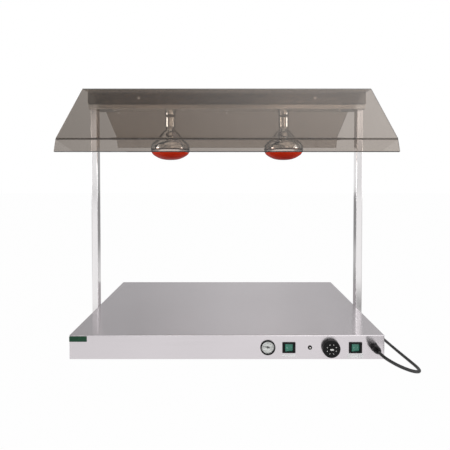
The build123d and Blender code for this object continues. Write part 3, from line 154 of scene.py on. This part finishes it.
# Softboxes: two large keys at the sides, two low windows that the lamps mirror,
# a panel for the left post and two high shelves for the beam and the roof.
for light_name, place, target, width, height, power in (
    ("left_key", (-2.8, -2.0, 1.6), (0, 0, 0.3), 3.0, 3.0, 21.5),
    ("right_key", (2.8, -2.0, 1.6), (0, 0, 0.3), 3.0, 3.0, 20.5),
    ("left_window", (-0.34, -1.6, 0.60), (-0.34, 0, 0.60), 0.62, 0.20, 0.6),
    ("right_window", (0.34, -1.6, 0.60), (0.34, 0, 0.60), 0.62, 0.20, 0.6),
    ("left_panel", (-1.16, -2.3, 0.72), (-0.43, 0, 0.62), 0.45, 0.64, 0.62),
    ("left_shelf", (-0.70, -2.3, 1.25), (-0.3, 0, 0.74), 0.8, 0.8, 1.1),
    ("right_shelf", (0.74, -2.3, 1.25), (0.3, 0, 0.74), 0.8, 0.8, 2.6),
):
    softbox = bpy.data.lights.new(light_name, "AREA")
    softbox.shape = "RECTANGLE"
    softbox.size = width
    softbox.size_y = height
    softbox.energy = power
    fitting = bpy.data.objects.new(light_name, softbox)
    fitting.location = place
    fitting.rotation_euler = (Vector(target) - Vector(place)).to_track_quat("-Z", "Y").to_euler()
    fitting.visible_camera = False
    scene.collection.objects.link(fitting)


# Floor: the matt white table top that the feet stand on, with a faint shadow.
# Metal mirrors it white in front of the object and at its left, fading outwards,
# and dark beside it at the right.
def new_piece(name, shape):
    mesh = bpy.data.meshes.new(name)
    shape.to_mesh(mesh)
    shape.free()
    piece = bpy.data.objects.new(name, mesh)
    scene.collection.objects.link(piece)
    return piece


floor_size = 14.0
floor_white = 0.985
floor_shape = bmesh.new()
bmesh.ops.create_grid(floor_shape, x_segments=1, y_segments=1, size=floor_size)
floor = new_piece("floor", floor_shape)
floor_look = bpy.data.materials.new("white_table")
floor_look.use_nodes = True
table = floor_look.node_tree
table.nodes.clear()
table_paint = add(table, "ShaderNodeBsdfDiffuse")
table_paint.inputs["Color"].default_value = (0.5, 0.5, 0.5, 1)
table_white = add(table, "ShaderNodeEmission")
table_white.inputs["Color"].default_value = (1, 1, 1, 1)
table_white.inputs["Strength"].default_value = 1.0

table_rays = add(table, "ShaderNodeLightPath").outputs
table_place = add(table, "ShaderNodeTexCoord").outputs["Object"]
table_across = along(table, table_place, to_right)
table_depth = along(table, table_place, to_back)
white_front = spread(table, table_depth, (-0.3, 0.4), (1.0, 0.0))
white_left = spread(table, table_across, (-0.5, 0.3), (0.90, 0.0))
table_mirrored = combine(table, "MAXIMUM", white_front, white_left)
for outward in (-1, 1):
    sweep = along(table, table_place, (outward, 0.6, 0))
    table_mirrored = combine(table, "MULTIPLY", table_mirrored, spread(table, sweep, (0.8, 1.6), (1, 0)))
dark_right = spread(table, table_across, (0.47, 0.51), (0, 1))
dark_depth = spread(table, table_depth, (-0.65, -0.25), (0, 1))
table_dark = combine(table, "MULTIPLY", dark_right, dark_depth)
table_mirrored = combine(table, "MULTIPLY", table_mirrored, combine(table, "SUBTRACT", 1.0, table_dark))
table_mirrored = combine(table, "MULTIPLY", table_rays["Is Glossy Ray"], table_mirrored)
table_seen = combine(table, "MAXIMUM", table_rays["Is Camera Ray"], table_mirrored)
table_seen = combine(table, "MAXIMUM", table_seen, table_rays["Is Transmission Ray"])
table_seen = combine(table, "MULTIPLY", table_seen, floor_white)
table_mix = mix_shaders(table, table_seen, table_paint.outputs[0], table_white.outputs[0])
table.links.new(table_mix, add(table, "ShaderNodeOutputMaterial").inputs["Surface"])
floor.data.materials.append(floor_look)


# Heated base: one folded sheet of stainless steel with a satin belt finish
# along its width, open below, pierced for the controls and the post bolts.
def new_group(name, inputs, outputs):
    group = bpy.data.node_groups.new(name, "ShaderNodeTree")
    for socket_name, kind, value in inputs:
        group.interface.new_socket(socket_name, in_out="INPUT", socket_type=kind).default_value = value
    for socket_name in outputs:
        group.interface.new_socket(socket_name, in_out="OUTPUT", socket_type="NodeSocketFloat")
    return group, add(group, "NodeGroupInput"), add(group, "NodeGroupOutput")


def noise(tree, vector, scale, detail):
    node = add(tree, "ShaderNodeTexNoise")
    node.inputs["Scale"].default_value = scale
    node.inputs["Detail"].default_value = detail
    tree.links.new(vector, node.inputs["Vector"])
    return node.outputs["Fac"]


scratches_along = 5
scratches_across = 900
grain_depth = 0.0002
belt_finish, belt_in, belt_out = new_group(
    "belt_finish",
    [("Stretch", "NodeSocketVector", (scratches_along, scratches_across, scratches_across))],
    ("Streak", "Tone", "Smudge"),
)
belt_place = add(belt_finish, "ShaderNodeTexCoord").outputs["Object"]
belt_stretch = add(belt_finish, "ShaderNodeVectorMath", operation="MULTIPLY")
belt_finish.links.new(belt_place, belt_stretch.inputs[0])
belt_finish.links.new(belt_in.outputs["Stretch"], belt_stretch.inputs[1])
belt_streak = noise(belt_finish, belt_stretch.outputs[0], scale=1.0, detail=4.0)
belt_cloud = noise(belt_finish, belt_place, scale=3.0, detail=2.0)
belt_cloud = combine(belt_finish, "MULTIPLY", belt_cloud, 0.55)
belt_tone = combine(belt_finish, "ADD", combine(belt_finish, "MULTIPLY", belt_streak, 0.75), belt_cloud)
belt_smudge = noise(belt_finish, belt_place, scale=14.0, detail=5.0)
belt_smudge = spread(belt_finish, belt_smudge, (0.52, 0.76), (0, 1))
belt_finish.links.new(belt_streak, belt_out.inputs["Streak"])
belt_finish.links.new(belt_tone, belt_out.inputs["Tone"])
belt_finish.links.new(belt_smudge, belt_out.inputs["Smudge"])


def new_look(name, **settings):
    look = bpy.data.materials.new(name)
    look.use_nodes = True
    shader = look.node_tree.nodes["Principled BSDF"]
    for socket_name, value in settings.items():
        shader.inputs[socket_name.replace("_", " ")].default_value = value
    return look, look.node_tree, shader


def place_group(tree, group, **settings):
    node = add(tree, "ShaderNodeGroup", node_tree=group)
    for socket_name, value in settings.items():
        node.inputs[socket_name].default_value = value
    return node.outputs


def blend(tree, share, first, second):
    node = add(tree, "ShaderNodeMix", data_type="RGBA")
    tree.links.new(share, node.inputs["Factor"])
    for socket_name, colour in (("A", first), ("B", second)):
        if isinstance(colour, tuple):
            node.inputs[socket_name].default_value = (*colour, 1)
        else:
            tree.links.new(colour, node.inputs[socket_name])
    return node.outputs["Result"]


def raise_surface(tree, shader, source, strength):
    node = add(tree, "ShaderNodeBump")
    node.inputs["Strength"].default_value = strength
    node.inputs["Distance"].default_value = grain_depth
    tree.links.new(source, node.inputs["Height"])
    tree.links.new(node.outputs["Normal"], shader.inputs["Normal"])


def belt_ground(name, grain, dark, light, smooth, rough, aniso=0.0, bump=0.02, **settings):
    look, tree, shader = new_look(name, Metallic=1.0, Anisotropic=aniso, **settings)
    stretch = [scratches_along if axis > 0.5 else scratches_across for axis in grain]
    finish = place_group(tree, belt_finish, Stretch=stretch)
    tone = spread(tree, finish["Tone"], (0.40, 0.90), (0, 1))
    tree.links.new(blend(tree, tone, dark, light), shader.inputs["Base Color"])
    gloss = combine(tree, "ADD", finish["Streak"], combine(tree, "MULTIPLY", finish["Smudge"], 0.12))
    tree.links.new(spread(tree, gloss, (0.25, 0.85), (smooth, rough)), shader.inputs["Roughness"])
    raise_surface(tree, shader, finish["Streak"], bump)
    if aniso:
        across = add(tree, "ShaderNodeVectorMath", operation="CROSS_PRODUCT")
        across.inputs[0].default_value = grain
        tree.links.new(add(tree, "ShaderNodeNewGeometry").outputs["True Normal"], across.inputs[1])
        tree.links.new(across.outputs[0], shader.inputs["Tangent"])
    return look


def finish_nodes(look, *names):
    for name in names:
        for slot in nodes[name].material_slots:
            slot.material = look


grain_across = (1, 0.02, 0.01)
deck_steel = belt_ground(
    "satin_stainless", grain_across, (0.63, 0.594, 0.615), (0.69, 0.651, 0.676),
    smooth=0.15, rough=0.21, aniso=1.0, bump=0.04,
)
finish_nodes(deck_steel, "deck_shell")

# Name plate: a thin green enamelled plate, left blank, stuck to the upper
# left corner of the front skirt.
front_y = -0.268
plate_left = -0.4192
plate_right = -0.3725
plate_low = 0.0525
plate_high = 0.0672
plate_thickness = 0.0006
plate_corner = 0.0012


def front_plate(shape, left, right, low, high, thickness, corner):
    middle = Vector(((left + right) / 2, front_y - thickness / 2, (low + high) / 2))
    size = Matrix.Diagonal((right - left, thickness, high - low, 1))
    made = bmesh.ops.create_cube(shape, size=1.0, matrix=Matrix.Translation(middle) @ size)
    edges = {edge for vertex in made["verts"] for edge in vertex.link_edges}
    upright = [edge for edge in edges if abs(edge.verts[0].co.y - edge.verts[1].co.y) > thickness / 2]
    bmesh.ops.bevel(
        shape,
        geom=upright,
        offset=corner,
        offset_type="OFFSET",
        affect="EDGES",
        segments=4,
        profile=0.5,
        material=-1,
    )


plate_shape = bmesh.new()
front_plate(plate_shape, plate_left, plate_right, plate_low, plate_high, plate_thickness, plate_corner)
name_plate = new_piece("blank_name_plate", plate_shape)

fine_grain = 900.0
pebble, pebble_in, pebble_out = new_group(
    "moulded_pebble", [("Grain", "NodeSocketFloat", fine_grain)], ("Height", "Cloud", "Dust")
)
pebble_place = add(pebble, "ShaderNodeTexCoord").outputs["Object"]
pebble_grain = add(pebble, "ShaderNodeTexNoise")
pebble_grain.inputs["Detail"].default_value = 2.0
pebble.links.new(pebble_place, pebble_grain.inputs["Vector"])
pebble.links.new(pebble_in.outputs["Grain"], pebble_grain.inputs["Scale"])
pebble_cloud = noise(pebble, pebble_place, scale=45.0, detail=3.0)
pebble_dust = noise(pebble, pebble_place, scale=420.0, detail=6.0)
pebble_dust = spread(pebble, pebble_dust, (0.58, 0.75), (0, 1))
pebble.links.new(pebble_grain.outputs["Fac"], pebble_out.inputs["Height"])
pebble.links.new(pebble_cloud, pebble_out.inputs["Cloud"])
pebble.links.new(pebble_dust, pebble_out.inputs["Dust"])


def moulded(name, dark, light, smooth, rough, grain=fine_grain, bump=0.1, **settings):
    look, tree, shader = new_look(name, **settings)
    finish = place_group(tree, pebble, Grain=grain)
    tree.links.new(blend(tree, finish["Cloud"], dark, light), shader.inputs["Base Color"])
    gloss = combine(tree, "ADD", finish["Cloud"], combine(tree, "MULTIPLY", finish["Dust"], 0.3))
    tree.links.new(spread(tree, gloss, (0.3, 0.9), (smooth, rough)), shader.inputs["Roughness"])
    raise_surface(tree, shader, finish["Height"], bump)
    return look


plate_enamel = moulded(
    "green_enamel", (0.002, 0.046, 0.018), (0.004, 0.060, 0.026),
    smooth=0.22, rough=0.34, grain=500.0, bump=0.03, Specular_IOR_Level=0.3,
)
name_plate.data.materials.append(plate_enamel)
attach(name_plate, "stand")

# Underside: a vented closing plate on the skirts' return flange, with eight
# zinc-plated cross-head screws and four rubber feet.
no_grain = (0, 0, 0)
plate_steel = belt_ground(
    "mill_stainless", grain_across, (0.42, 0.41, 0.41), (0.52, 0.51, 0.51), smooth=0.3, rough=0.48
)
finish_nodes(plate_steel, "bottom_plate")
zinc = belt_ground("zinc_plating", no_grain, (0.46, 0.46, 0.45), (0.62, 0.62, 0.60), smooth=0.2, rough=0.38)
finish_nodes(zinc, "bottom_screws")
rubber = moulded(
    "foot_rubber", (0.012, 0.012, 0.012), (0.024, 0.024, 0.023), smooth=0.55, rough=0.8, grain=700.0
)
finish_nodes(rubber, "foot_front_left", "foot_front_right", "foot_back_left", "foot_back_right")

# Heater: a sheathed rod bent to and fro, clamped under the deck over a mat of
# mineral wool, with a sheet that keeps its heat from the control bay.
sheath = belt_ground(
    "oxidised_sheath", no_grain, (0.10, 0.09, 0.08), (0.24, 0.20, 0.17), smooth=0.4, rough=0.6
)
finish_nodes(sheath, "heating_element")
finish_nodes(plate_steel, "heat_shield", "element_clamps")
finish_nodes(zinc, "clamp_studs")
wool = moulded(
    "mineral_wool", (0.40, 0.35, 0.20), (0.58, 0.52, 0.34), smooth=0.85, rough=1.0, grain=350.0, bump=0.8
)
finish_nodes(wool, "insulation_mat")
insulator = moulded(
    "black_insulator", (0.035, 0.034, 0.033), (0.060, 0.058, 0.056), smooth=0.3, rough=0.5
)
finish_nodes(insulator, "terminal_block")

# Thermometer: a black can with a rolled rim, a white printed dial on its
# floor, a balanced needle on a thin shaft and a flat glass.
black_plastic = moulded(
    "black_plastic", (0.004, 0.004, 0.0045), (0.009, 0.009, 0.010),
    smooth=0.28, rough=0.45, Specular_IOR_Level=0.15,
)
finish_nodes(black_plastic, "thermometer_case", "thermometer_needle")
dial_paint = moulded(
    "dial_paint", (0.80, 0.80, 0.79), (0.86, 0.86, 0.85), smooth=0.4, rough=0.55, grain=700.0, bump=0.03
)
finish_nodes(dial_paint, "thermometer_dial")

panel_z = 0.037
dial_middle = Vector((0.109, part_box("thermometer_dial")[0][1], panel_z))
print_thickness = 0.00008
print_lift = Vector((0, -print_thickness / 2, 0))
scale_start = 225.0
scale_sweep = 270.0
scale_steps = 24
steps_a_number = 4
degrees_a_step = 5
tick_circle = 0.0158
long_tick = (0.0026, 0.0004)
short_tick = (0.0015, 0.00025)
number_circle = 0.0108
letter_height = 0.0028
unit_drop = Vector((0, 0, -0.0070))


def facing_front(middle, turn=0.0):
    return Matrix.Translation(middle) @ Matrix.Rotation(math.pi / 2, 4, "X") @ Matrix.Rotation(turn, 4, "Z")


def front_bar(shape, middle, length, width, thickness, turn):
    size = Matrix.Diagonal((length, width, thickness, 1))
    bmesh.ops.create_cube(shape, size=1.0, matrix=facing_front(middle, turn) @ size)


def front_letters(shape, text, middle):
    line = bpy.data.curves.new("letters", "FONT")
    line.body = text
    line.size = letter_height
    line.align_x = "CENTER"
    line.align_y = "CENTER"
    line.extrude = print_thickness / 2
    holder = bpy.data.objects.new("letters", line)
    letters = bpy.data.meshes.new_from_object(holder)
    letters.transform(facing_front(middle))
    shape.from_mesh(letters)
    bpy.data.objects.remove(holder)
    bpy.data.curves.remove(line)
    bpy.data.meshes.remove(letters)


scale_shape = bmesh.new()
for step in range(scale_steps + 1):
    angle = math.radians(scale_start - scale_sweep * step / scale_steps)
    outward = Vector((math.cos(angle), 0, math.sin(angle)))
    numbered = step % steps_a_number == 0
    tick_length, tick_width = long_tick if numbered else short_tick
    tick_middle = dial_middle + outward * (tick_circle - tick_length / 2) + print_lift
    front_bar(scale_shape, tick_middle, tick_length, tick_width, print_thickness, angle)
    if numbered:
        number_middle = dial_middle + outward * number_circle + print_lift
        front_letters(scale_shape, str(step * degrees_a_step), number_middle)
front_letters(scale_shape, "°C", dial_middle + print_lift + unit_drop)
dial_scale = new_piece("dial_scale", scale_shape)
dial_ink = moulded("dial_ink", (0.05, 0.05, 0.052), (0.09, 0.09, 0.09), smooth=0.4, rough=0.6, bump=0.02)
dial_scale.data.materials.append(dial_ink)
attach(dial_scale, "stand")


def clear_to_shadows(tree, shader, tint):
    shadow_rays = add(tree, "ShaderNodeLightPath").outputs["Is Shadow Ray"]
    clear = add(tree, "ShaderNodeBsdfTransparent")
    clear.inputs["Color"].default_value = (*tint, 1)
    mix = mix_shaders(tree, shadow_rays, shader.outputs[0], clear.outputs[0])
    tree.links.new(mix, tree.nodes["Material Output"].inputs["Surface"])


lens_glass, lens_tree, lens_shader = new_look(
    "clear_lens", Transmission_Weight=1.0, IOR=1.45, Base_Color=(0.97, 0.98, 0.97, 1)
)
lens_dust = place_group(lens_tree, pebble, Grain=300.0)["Dust"]
lens_tree.links.new(spread(lens_tree, lens_dust, (0, 1), (0.01, 0.06)), lens_shader.inputs["Roughness"])
clear_to_shadows(lens_tree, lens_shader, (0.95, 0.95, 0.95))
finish_nodes(lens_glass, "thermometer_lens")

# Thermostat: a moulded body behind the skirt and a brass spindle with a flat,
# which carries a thick black knob with white setting dots and a white pointer.
finish_nodes(insulator, "thermostat_body")
brass = belt_ground("turned_brass", no_grain, (0.55, 0.40, 0.16), (0.68, 0.51, 0.23), smooth=0.22, rough=0.38)
finish_nodes(brass, "thermostat_spindle")
finish_nodes(black_plastic, "thermostat_knob")

knob_middle = Vector((0.276, front_y - 0.0128, panel_z))
knob_dots = 8
dot_circle = 0.0128
dot_radius = 0.0011
pointer_face = front_y - 0.0153
pointer_turn = math.radians(-4)
inlay_length = 0.0105
inlay_width = 0.0046
inlay_thickness = 0.0002


def front_disc(shape, place, radius, segments):
    bmesh.ops.create_cone(
        shape,
        cap_ends=True,
        segments=segments,
        radius1=radius,
        radius2=radius,
        depth=2 * inlay_thickness,
        matrix=place,
    )


marks_shape = bmesh.new()
for dot in range(knob_dots):
    angle = 2 * math.pi * (dot + 0.5) / knob_dots
    dot_middle = knob_middle + Vector((math.cos(angle), 0, math.sin(angle))) * dot_circle
    front_disc(marks_shape, facing_front(dot_middle), dot_radius, segments=20)
inlay_place = facing_front(Vector((knob_middle.x, pointer_face, knob_middle.z)), pointer_turn)
inlay_size = Matrix.Diagonal((inlay_length, inlay_width, 1, 1))
front_disc(marks_shape, inlay_place @ inlay_size, radius=0.5, segments=40)
knob_marks = new_piece("knob_marks", marks_shape)
white_paint = moulded(
    "white_marking", (0.74, 0.74, 0.72), (0.84, 0.84, 0.82), smooth=0.35, rough=0.5, grain=700.0, bump=0.05
)
knob_marks.data.materials.append(white_paint)
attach(knob_marks, "knob")

# Rocker switches: black snap-in housings with green see-through rockers on
# side pins, one for the lamps and one for the deck, with worn pale I and O.
finish_nodes(black_plastic, "lamp_switch_housing", "heat_switch_housing")
green = moulded(
    "green_rocker", (0.012, 0.165, 0.110), (0.020, 0.225, 0.150),
    smooth=0.14, rough=0.26, grain=500.0, bump=0.03, Coat_Weight=0.4, Coat_Roughness=0.1,
)
finish_nodes(green, "lamp_switch_rocker", "heat_switch_rocker")
rocker_pivot_y = front_y + 0.004
rocker_rest = math.radians(10)
rocker_valley = 0.0036
rocker_rise = 0.00068
rocker_half = 0.01035
mark_reach = 0.0056
mark_height = 0.0038
mark_stroke = 0.0006
mark_thickness = 0.00012


def items_of_kind(made, kind):
    return [item for item in made["geom"] if isinstance(item, kind)]


def rocker_bar(shape, place):
    size = Matrix.Diagonal((mark_stroke, 2 * mark_thickness, mark_height, 1))
    bmesh.ops.create_cube(shape, size=1.0, matrix=place @ size)


def rocker_ring(shape, place):
    inner = bmesh.ops.create_circle(shape, segments=32, radius=mark_height / 2 - mark_stroke)["verts"]
    edges = list({edge for vertex in inner for edge in vertex.link_edges})
    widened = bmesh.ops.extrude_edge_only(shape, edges=edges)
    outer = items_of_kind(widened, bmesh.types.BMVert)
    grown = mark_height / (mark_height - 2 * mark_stroke)
    bmesh.ops.scale(shape, vec=(grown, grown, 1), verts=outer)
    flat = items_of_kind(widened, bmesh.types.BMFace)
    raised = bmesh.ops.extrude_face_region(shape, geom=flat, use_keep_orig=True)
    upper = items_of_kind(raised, bmesh.types.BMVert)
    bmesh.ops.translate(shape, vec=(0, 0, 2 * mark_thickness), verts=upper)
    whole = inner + outer + upper
    bmesh.ops.translate(shape, vec=(0, 0, -mark_thickness), verts=whole)
    bmesh.ops.transform(shape, matrix=place @ Matrix.Rotation(math.pi / 2, 4, "X"), verts=whole)


worn_paint = moulded(
    "worn_marking", (0.22, 0.40, 0.34), (0.30, 0.48, 0.42), smooth=0.35, rough=0.5, grain=700.0, bump=0.05
)
mark_out = rocker_valley + rocker_rise * mark_reach / rocker_half
mark_slope = math.atan2(rocker_rise, rocker_half)
for switch_name, switch_x in (("lamp", 0.165), ("heat", 0.342)):
    switch_marks = bmesh.new()
    rocker_middle = Matrix.Translation((switch_x, rocker_pivot_y, panel_z))
    rocker_place = rocker_middle @ Matrix.Rotation(rocker_rest, 4, "Z")
    for side, draw_mark in ((-1, rocker_ring), (1, rocker_bar)):
        mark_middle = Matrix.Translation((side * mark_reach, -mark_out, 0))
        draw_mark(switch_marks, rocker_place @ mark_middle @ Matrix.Rotation(-side * mark_slope, 4, "Z"))
    bmesh.ops.recalc_face_normals(switch_marks, faces=switch_marks.faces)
    rocker_marks = new_piece(f"{switch_name}_rocker_marks", switch_marks)
    rocker_marks.data.materials.append(worn_paint)
    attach(rocker_marks, f"{switch_name}_rocker")

# Legend strips: thin satin labels under the two switches, left blank.
strip_thickness = 0.0003
strip_corner = 0.001
strip_shape = bmesh.new()
for strip_left, strip_right, strip_low, strip_high in (
    (0.3215, 0.3625, 0.0092, 0.0218),
    (0.1475, 0.1825, 0.0135, 0.0195),
):
    front_plate(strip_shape, strip_left, strip_right, strip_low, strip_high, strip_thickness, strip_corner)
legend_strips = new_piece("blank_legend_strips", strip_shape)
strip_film = moulded(
    "satin_label", (0.86, 0.855, 0.86), (0.91, 0.905, 0.91), smooth=0.35, rough=0.5, bump=0.03
)
legend_strips.data.materials.append(strip_film)
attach(legend_strips, "stand")

# Pilot lamp: a black snap-in body whose rim holds a pale domed lens.
finish_nodes(black_plastic, "pilot_bezel")
pale_lens = moulded(
    "pale_lens", (0.60, 0.58, 0.55), (0.74, 0.72, 0.69),
    smooth=0.08, rough=0.2, grain=300.0, bump=0.03, Coat_Weight=0.6,
)
finish_nodes(pale_lens, "pilot_lens")

# Cord gland: a black nylon fitting through the skirt, locked from inside,
# with a grooved cap that tapers on to the cord.
finish_nodes(black_plastic, "gland_body", "gland_locknut", "gland_cap")

# Posts: flat-sided stainless tubes polished along their length, bolted to the
# side skirts from inside, with black plugs below and tapped bars within.
grain_up = (0.02, 0.01, 1)
post_steel = belt_ground(
    "bright_tube", grain_up, (0.82, 0.80, 0.805), (0.85, 0.83, 0.835),
    smooth=0.14, rough=0.17, aniso=0.5, bump=0.001,
)
finish_nodes(post_steel, "post_left", "post_right")
finish_nodes(black_plastic, "post_plugs")
finish_nodes(zinc, "post_inserts", "post_bolts")

# Lamp beam: a folded tray on the posts that carries the lamps, a wider dark
# cover screwed over it with spacers, and flat end plates.
channel_steel = belt_ground(
    "channel_stainless", grain_across, (0.615, 0.583, 0.549), (0.647, 0.614, 0.578),
    smooth=0.23, rough=0.26, aniso=0.6, bump=0.001,
)
finish_nodes(channel_steel, "lamp_channel", "beam_end_left", "beam_end_right")
# The cover's stainless is coloured far darker than the channel's.
cover_steel = belt_ground(
    "darkened_cover_stainless", grain_across, (0.213, 0.192, 0.175), (0.231, 0.208, 0.190),
    smooth=0.23, rough=0.26, aniso=0.6, bump=0.001,
)
finish_nodes(cover_steel, "beam_cover")
bright_zinc = belt_ground(
    "bright_zinc", no_grain, (0.86, 0.85, 0.83), (0.93, 0.92, 0.90), smooth=0.10, rough=0.20
)
finish_nodes(bright_zinc, "beam_screws")
finish_nodes(zinc, "beam_spacers")

# Roof canopy: one sheet of smoked acrylic bent hot along four lines, held on
# the beam by six screws with black washers and dome nuts under the channel.
smoke = (0.48, 0.425, 0.38)
# Painted shade: the four bend lines of the sheet are coloured near black.
painted_bend_shade = (0.05, 0.038, 0.03)
acrylic, acrylic_tree, acrylic_shader = new_look("smoked_acrylic", Transmission_Weight=1.0, IOR=1.49)
acrylic_place = add(acrylic_tree, "ShaderNodeTexCoord").outputs["Object"]
bend_lines = None
for bend_y, bend_z, across_y, across_z, half_width in (
    (-0.2990, 0.5892, 0.579, 0.815, 0.0017),
    (-0.0950, 0.7612, 0.939, 0.343, 0.0016),
    (0.0950, 0.7612, 0.970, -0.243, 0.0016),
    (0.2990, 0.6522, 0.642, -0.767, 0.0012),
):
    bend_mark = add(acrylic_tree, "ShaderNodeMath", operation="COMPARE")
    bend_mark.inputs[1].default_value = bend_y * across_y + bend_z * across_z
    bend_mark.inputs[2].default_value = half_width
    across_bend = along(acrylic_tree, acrylic_place, (0, across_y, across_z))
    acrylic_tree.links.new(across_bend, bend_mark.inputs[0])
    mark = bend_mark.outputs[0]
    bend_lines = mark if bend_lines is None else combine(acrylic_tree, "MAXIMUM", bend_lines, mark)
acrylic_tree.links.new(blend(acrylic_tree, bend_lines, smoke, painted_bend_shade), acrylic_shader.inputs["Base Color"])
acrylic_dust = place_group(acrylic_tree, pebble, Grain=200.0)["Dust"]
acrylic_haze = spread(acrylic_tree, acrylic_dust, (0, 1), (0.0, 0.008))
acrylic_tree.links.new(acrylic_haze, acrylic_shader.inputs["Roughness"])
clear_to_shadows(acrylic_tree, acrylic_shader, (0.6, 0.57, 0.54))
finish_nodes(acrylic, "canopy")
finish_nodes(black_plastic, "canopy_washers")
finish_nodes(bright_zinc, "canopy_screws", "canopy_nuts")

# Lamp holders: polished metal cups and sleeves on a grey insulating core,
# each hung from the channel on a hollow threaded stem.
dark_edge = (0, 0, 0, 1)
chrome = belt_ground(
    "polished_metal", no_grain, (0.88, 0.87, 0.84), (0.94, 0.93, 0.90),
    smooth=0.04, rough=0.09, bump=0.003, Specular_Tint=dark_edge,
)
finish_nodes(chrome, "holder_shell_left", "holder_shell_right")
holder_insulator = moulded(
    "holder_insulator", (0.30, 0.275, 0.26), (0.38, 0.355, 0.335), smooth=0.25, rough=0.4
)
finish_nodes(holder_insulator, "holder_core_left", "holder_core_right")
finish_nodes(zinc, "holder_nipples")

# Infrared lamps: blown glass on a screw cap, silvered from the neck to the widest
# ring, which has a painted shade line over a painted highlight band, and ruby red
# below it, with painted shade low on the silver flank and on the ruby crown.
finish_nodes(chrome, "lamp_cap_left", "lamp_cap_right")
crown_z = 0.548
ring_z = 0.5715
band_z = 0.5775
rim_z = 0.583
flank_z = 0.597
ring_fade = 0.0012
line_fade = 0.001
painted_shade_line = (0.10, 0.05, 0.04)
lamp_glass, lamp_tree, lamp_shader = new_look(
    "silvered_ruby",
    Coat_Weight=0.04,
    Coat_Roughness=0.02,
    Specular_IOR_Level=0.03,
    Specular_Tint=dark_edge,
)
lamp_place = add(lamp_tree, "ShaderNodeTexCoord").outputs["Object"]
lamp_height = along(lamp_tree, lamp_place, to_top)
silvered = spread(lamp_tree, lamp_height, (ring_z, ring_z + ring_fade), (0, 1))
in_band = spread(lamp_tree, lamp_height, (band_z, band_z + line_fade), (1, 0))
above_line = spread(lamp_tree, lamp_height, (rim_z - line_fade, rim_z), (0, 1))
up_flank = spread(lamp_tree, lamp_height, (rim_z, flank_z), (0, 1))
up_crown = spread(lamp_tree, lamp_height, (crown_z, ring_z), (0, 1))
# Painted shade: the ruby crown darkens from the ring down to its bottom.
ruby = blend(lamp_tree, up_crown, (0.54, 0.012, 0.003), (0.90, 0.055, 0.016))
# Painted highlight and shade: the silver is brightest in the band above the red, and darker low on the flank,
# lightening upwards.
bright = combine(lamp_tree, "MAXIMUM", up_flank, in_band)
silver = blend(lamp_tree, bright, (0.68, 0.66, 0.63), (0.95, 0.94, 0.92))
# Painted shade: a dark line runs round the silver between the band and the flank.
off_line = combine(lamp_tree, "MAXIMUM", above_line, in_band)
silver_with_painted_light = blend(lamp_tree, off_line, painted_shade_line, silver)
lamp_colour = blend(lamp_tree, silvered, ruby, silver_with_painted_light)
lamp_tree.links.new(lamp_colour, lamp_shader.inputs["Base Color"])
lamp_tree.links.new(silvered, lamp_shader.inputs["Metallic"])
lamp_dust = place_group(lamp_tree, pebble, Grain=120.0)["Dust"]
lamp_dust = combine(lamp_tree, "MULTIPLY", lamp_dust, 0.05)
lamp_haze = combine(lamp_tree, "ADD", spread(lamp_tree, silvered, (0, 1), (0.14, 0.04)), lamp_dust)
lamp_tree.links.new(lamp_haze, lamp_shader.inputs["Roughness"])
finish_nodes(lamp_glass, "lamp_glass_left", "lamp_glass_right")

# Supply cord: a round black rubber lead. It leaves the gland, turns back past
# the right skirt and is put away behind the base, coiled, tied and plugged.
cord_route = [
    (0.391, -0.3063, 0.040),
    (0.391, -0.3225, 0.040),
    (0.399, -0.345, 0.037),
    (0.421, -0.364, 0.029),
    (0.450, -0.366, 0.0185),
    (0.475, -0.3505, 0.0095),
    (0.486, -0.323, 0.0054),
    (0.482, -0.266, 0.0045),
    (0.475, -0.185, 0.0043),
    (0.469, -0.095, 0.0043),
    (0.466, 0.005, 0.0043),
    (0.4655, 0.105, 0.0043),
    (0.467, 0.200, 0.0043),
    (0.469, 0.290, 0.0044),
    (0.466, 0.358, 0.0048),
    (0.446, 0.412, 0.0054),
    (0.400, 0.4375, 0.0054),
    (0.348, 0.4375, 0.0054),
]
coil_middle = Vector((0.340, 0.386))
coil_reaches = [0.0515, 0.0465, 0.0415, 0.0365, 0.0365, 0.0415, 0.0465, 0.0515]
coil_low = 0.0054
coil_high = 0.0142
climbing_half_turn = 3
points_a_half_turn = 6
for half_turn, (reach, next_reach) in enumerate(zip(coil_reaches, coil_reaches[1:])):
    side = 1 if half_turn % 2 == 0 else -1
    control_radius = (reach + next_reach) / 2 / math.cos(math.pi / (2 * points_a_half_turn))
    middle_y = coil_middle.y + side * (reach - next_reach) / 2
    for step in range(points_a_half_turn):
        share = (step + 0.5) / points_a_half_turn
        angle = side * math.pi / 2 + math.pi * share
        climbed = share if half_turn == climbing_half_turn else float(half_turn > climbing_half_turn)
        cord_route.append(
            (
                coil_middle.x + control_radius * math.cos(angle),
                middle_y + control_radius * math.sin(angle),
                coil_low + (coil_high - coil_low) * climbed,
            )
        )
cord_route += [(0.350, 0.3345, coil_high), (0.360, 0.3345, coil_high)]
cord_radius = 0.004
cord_curve = bpy.data.curves.new("mains_cord", "CURVE")
cord_curve.dimensions = "3D"
cord_curve.bevel_depth = cord_radius
cord_curve.bevel_resolution = 5
cord_curve.use_fill_caps = True
cord_spline = cord_curve.splines.new("NURBS")
cord_spline.points.add(len(cord_route) - 1)
for point, place in zip(cord_spline.points, cord_route):
    point.co = (*place, 1)
cord_spline.order_u = 3
cord_spline.use_endpoint_u = True
cord_spline.resolution_u = 6
mains_cord = bpy.data.objects.new("mains_cord", cord_curve)
scene.collection.objects.link(mains_cord)
cord_rubber = moulded(
    "cord_rubber", (0.010, 0.010, 0.010), (0.020, 0.020, 0.020), smooth=0.38, rough=0.55, grain=600.0
)
cord_curve.materials.append(cord_rubber)
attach(mains_cord, "stand")
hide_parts("supply_cord", "cord_coil")
finish_nodes(black_plastic, "cord_tie", "plug_body")
finish_nodes(bright_zinc, "plug_pins")
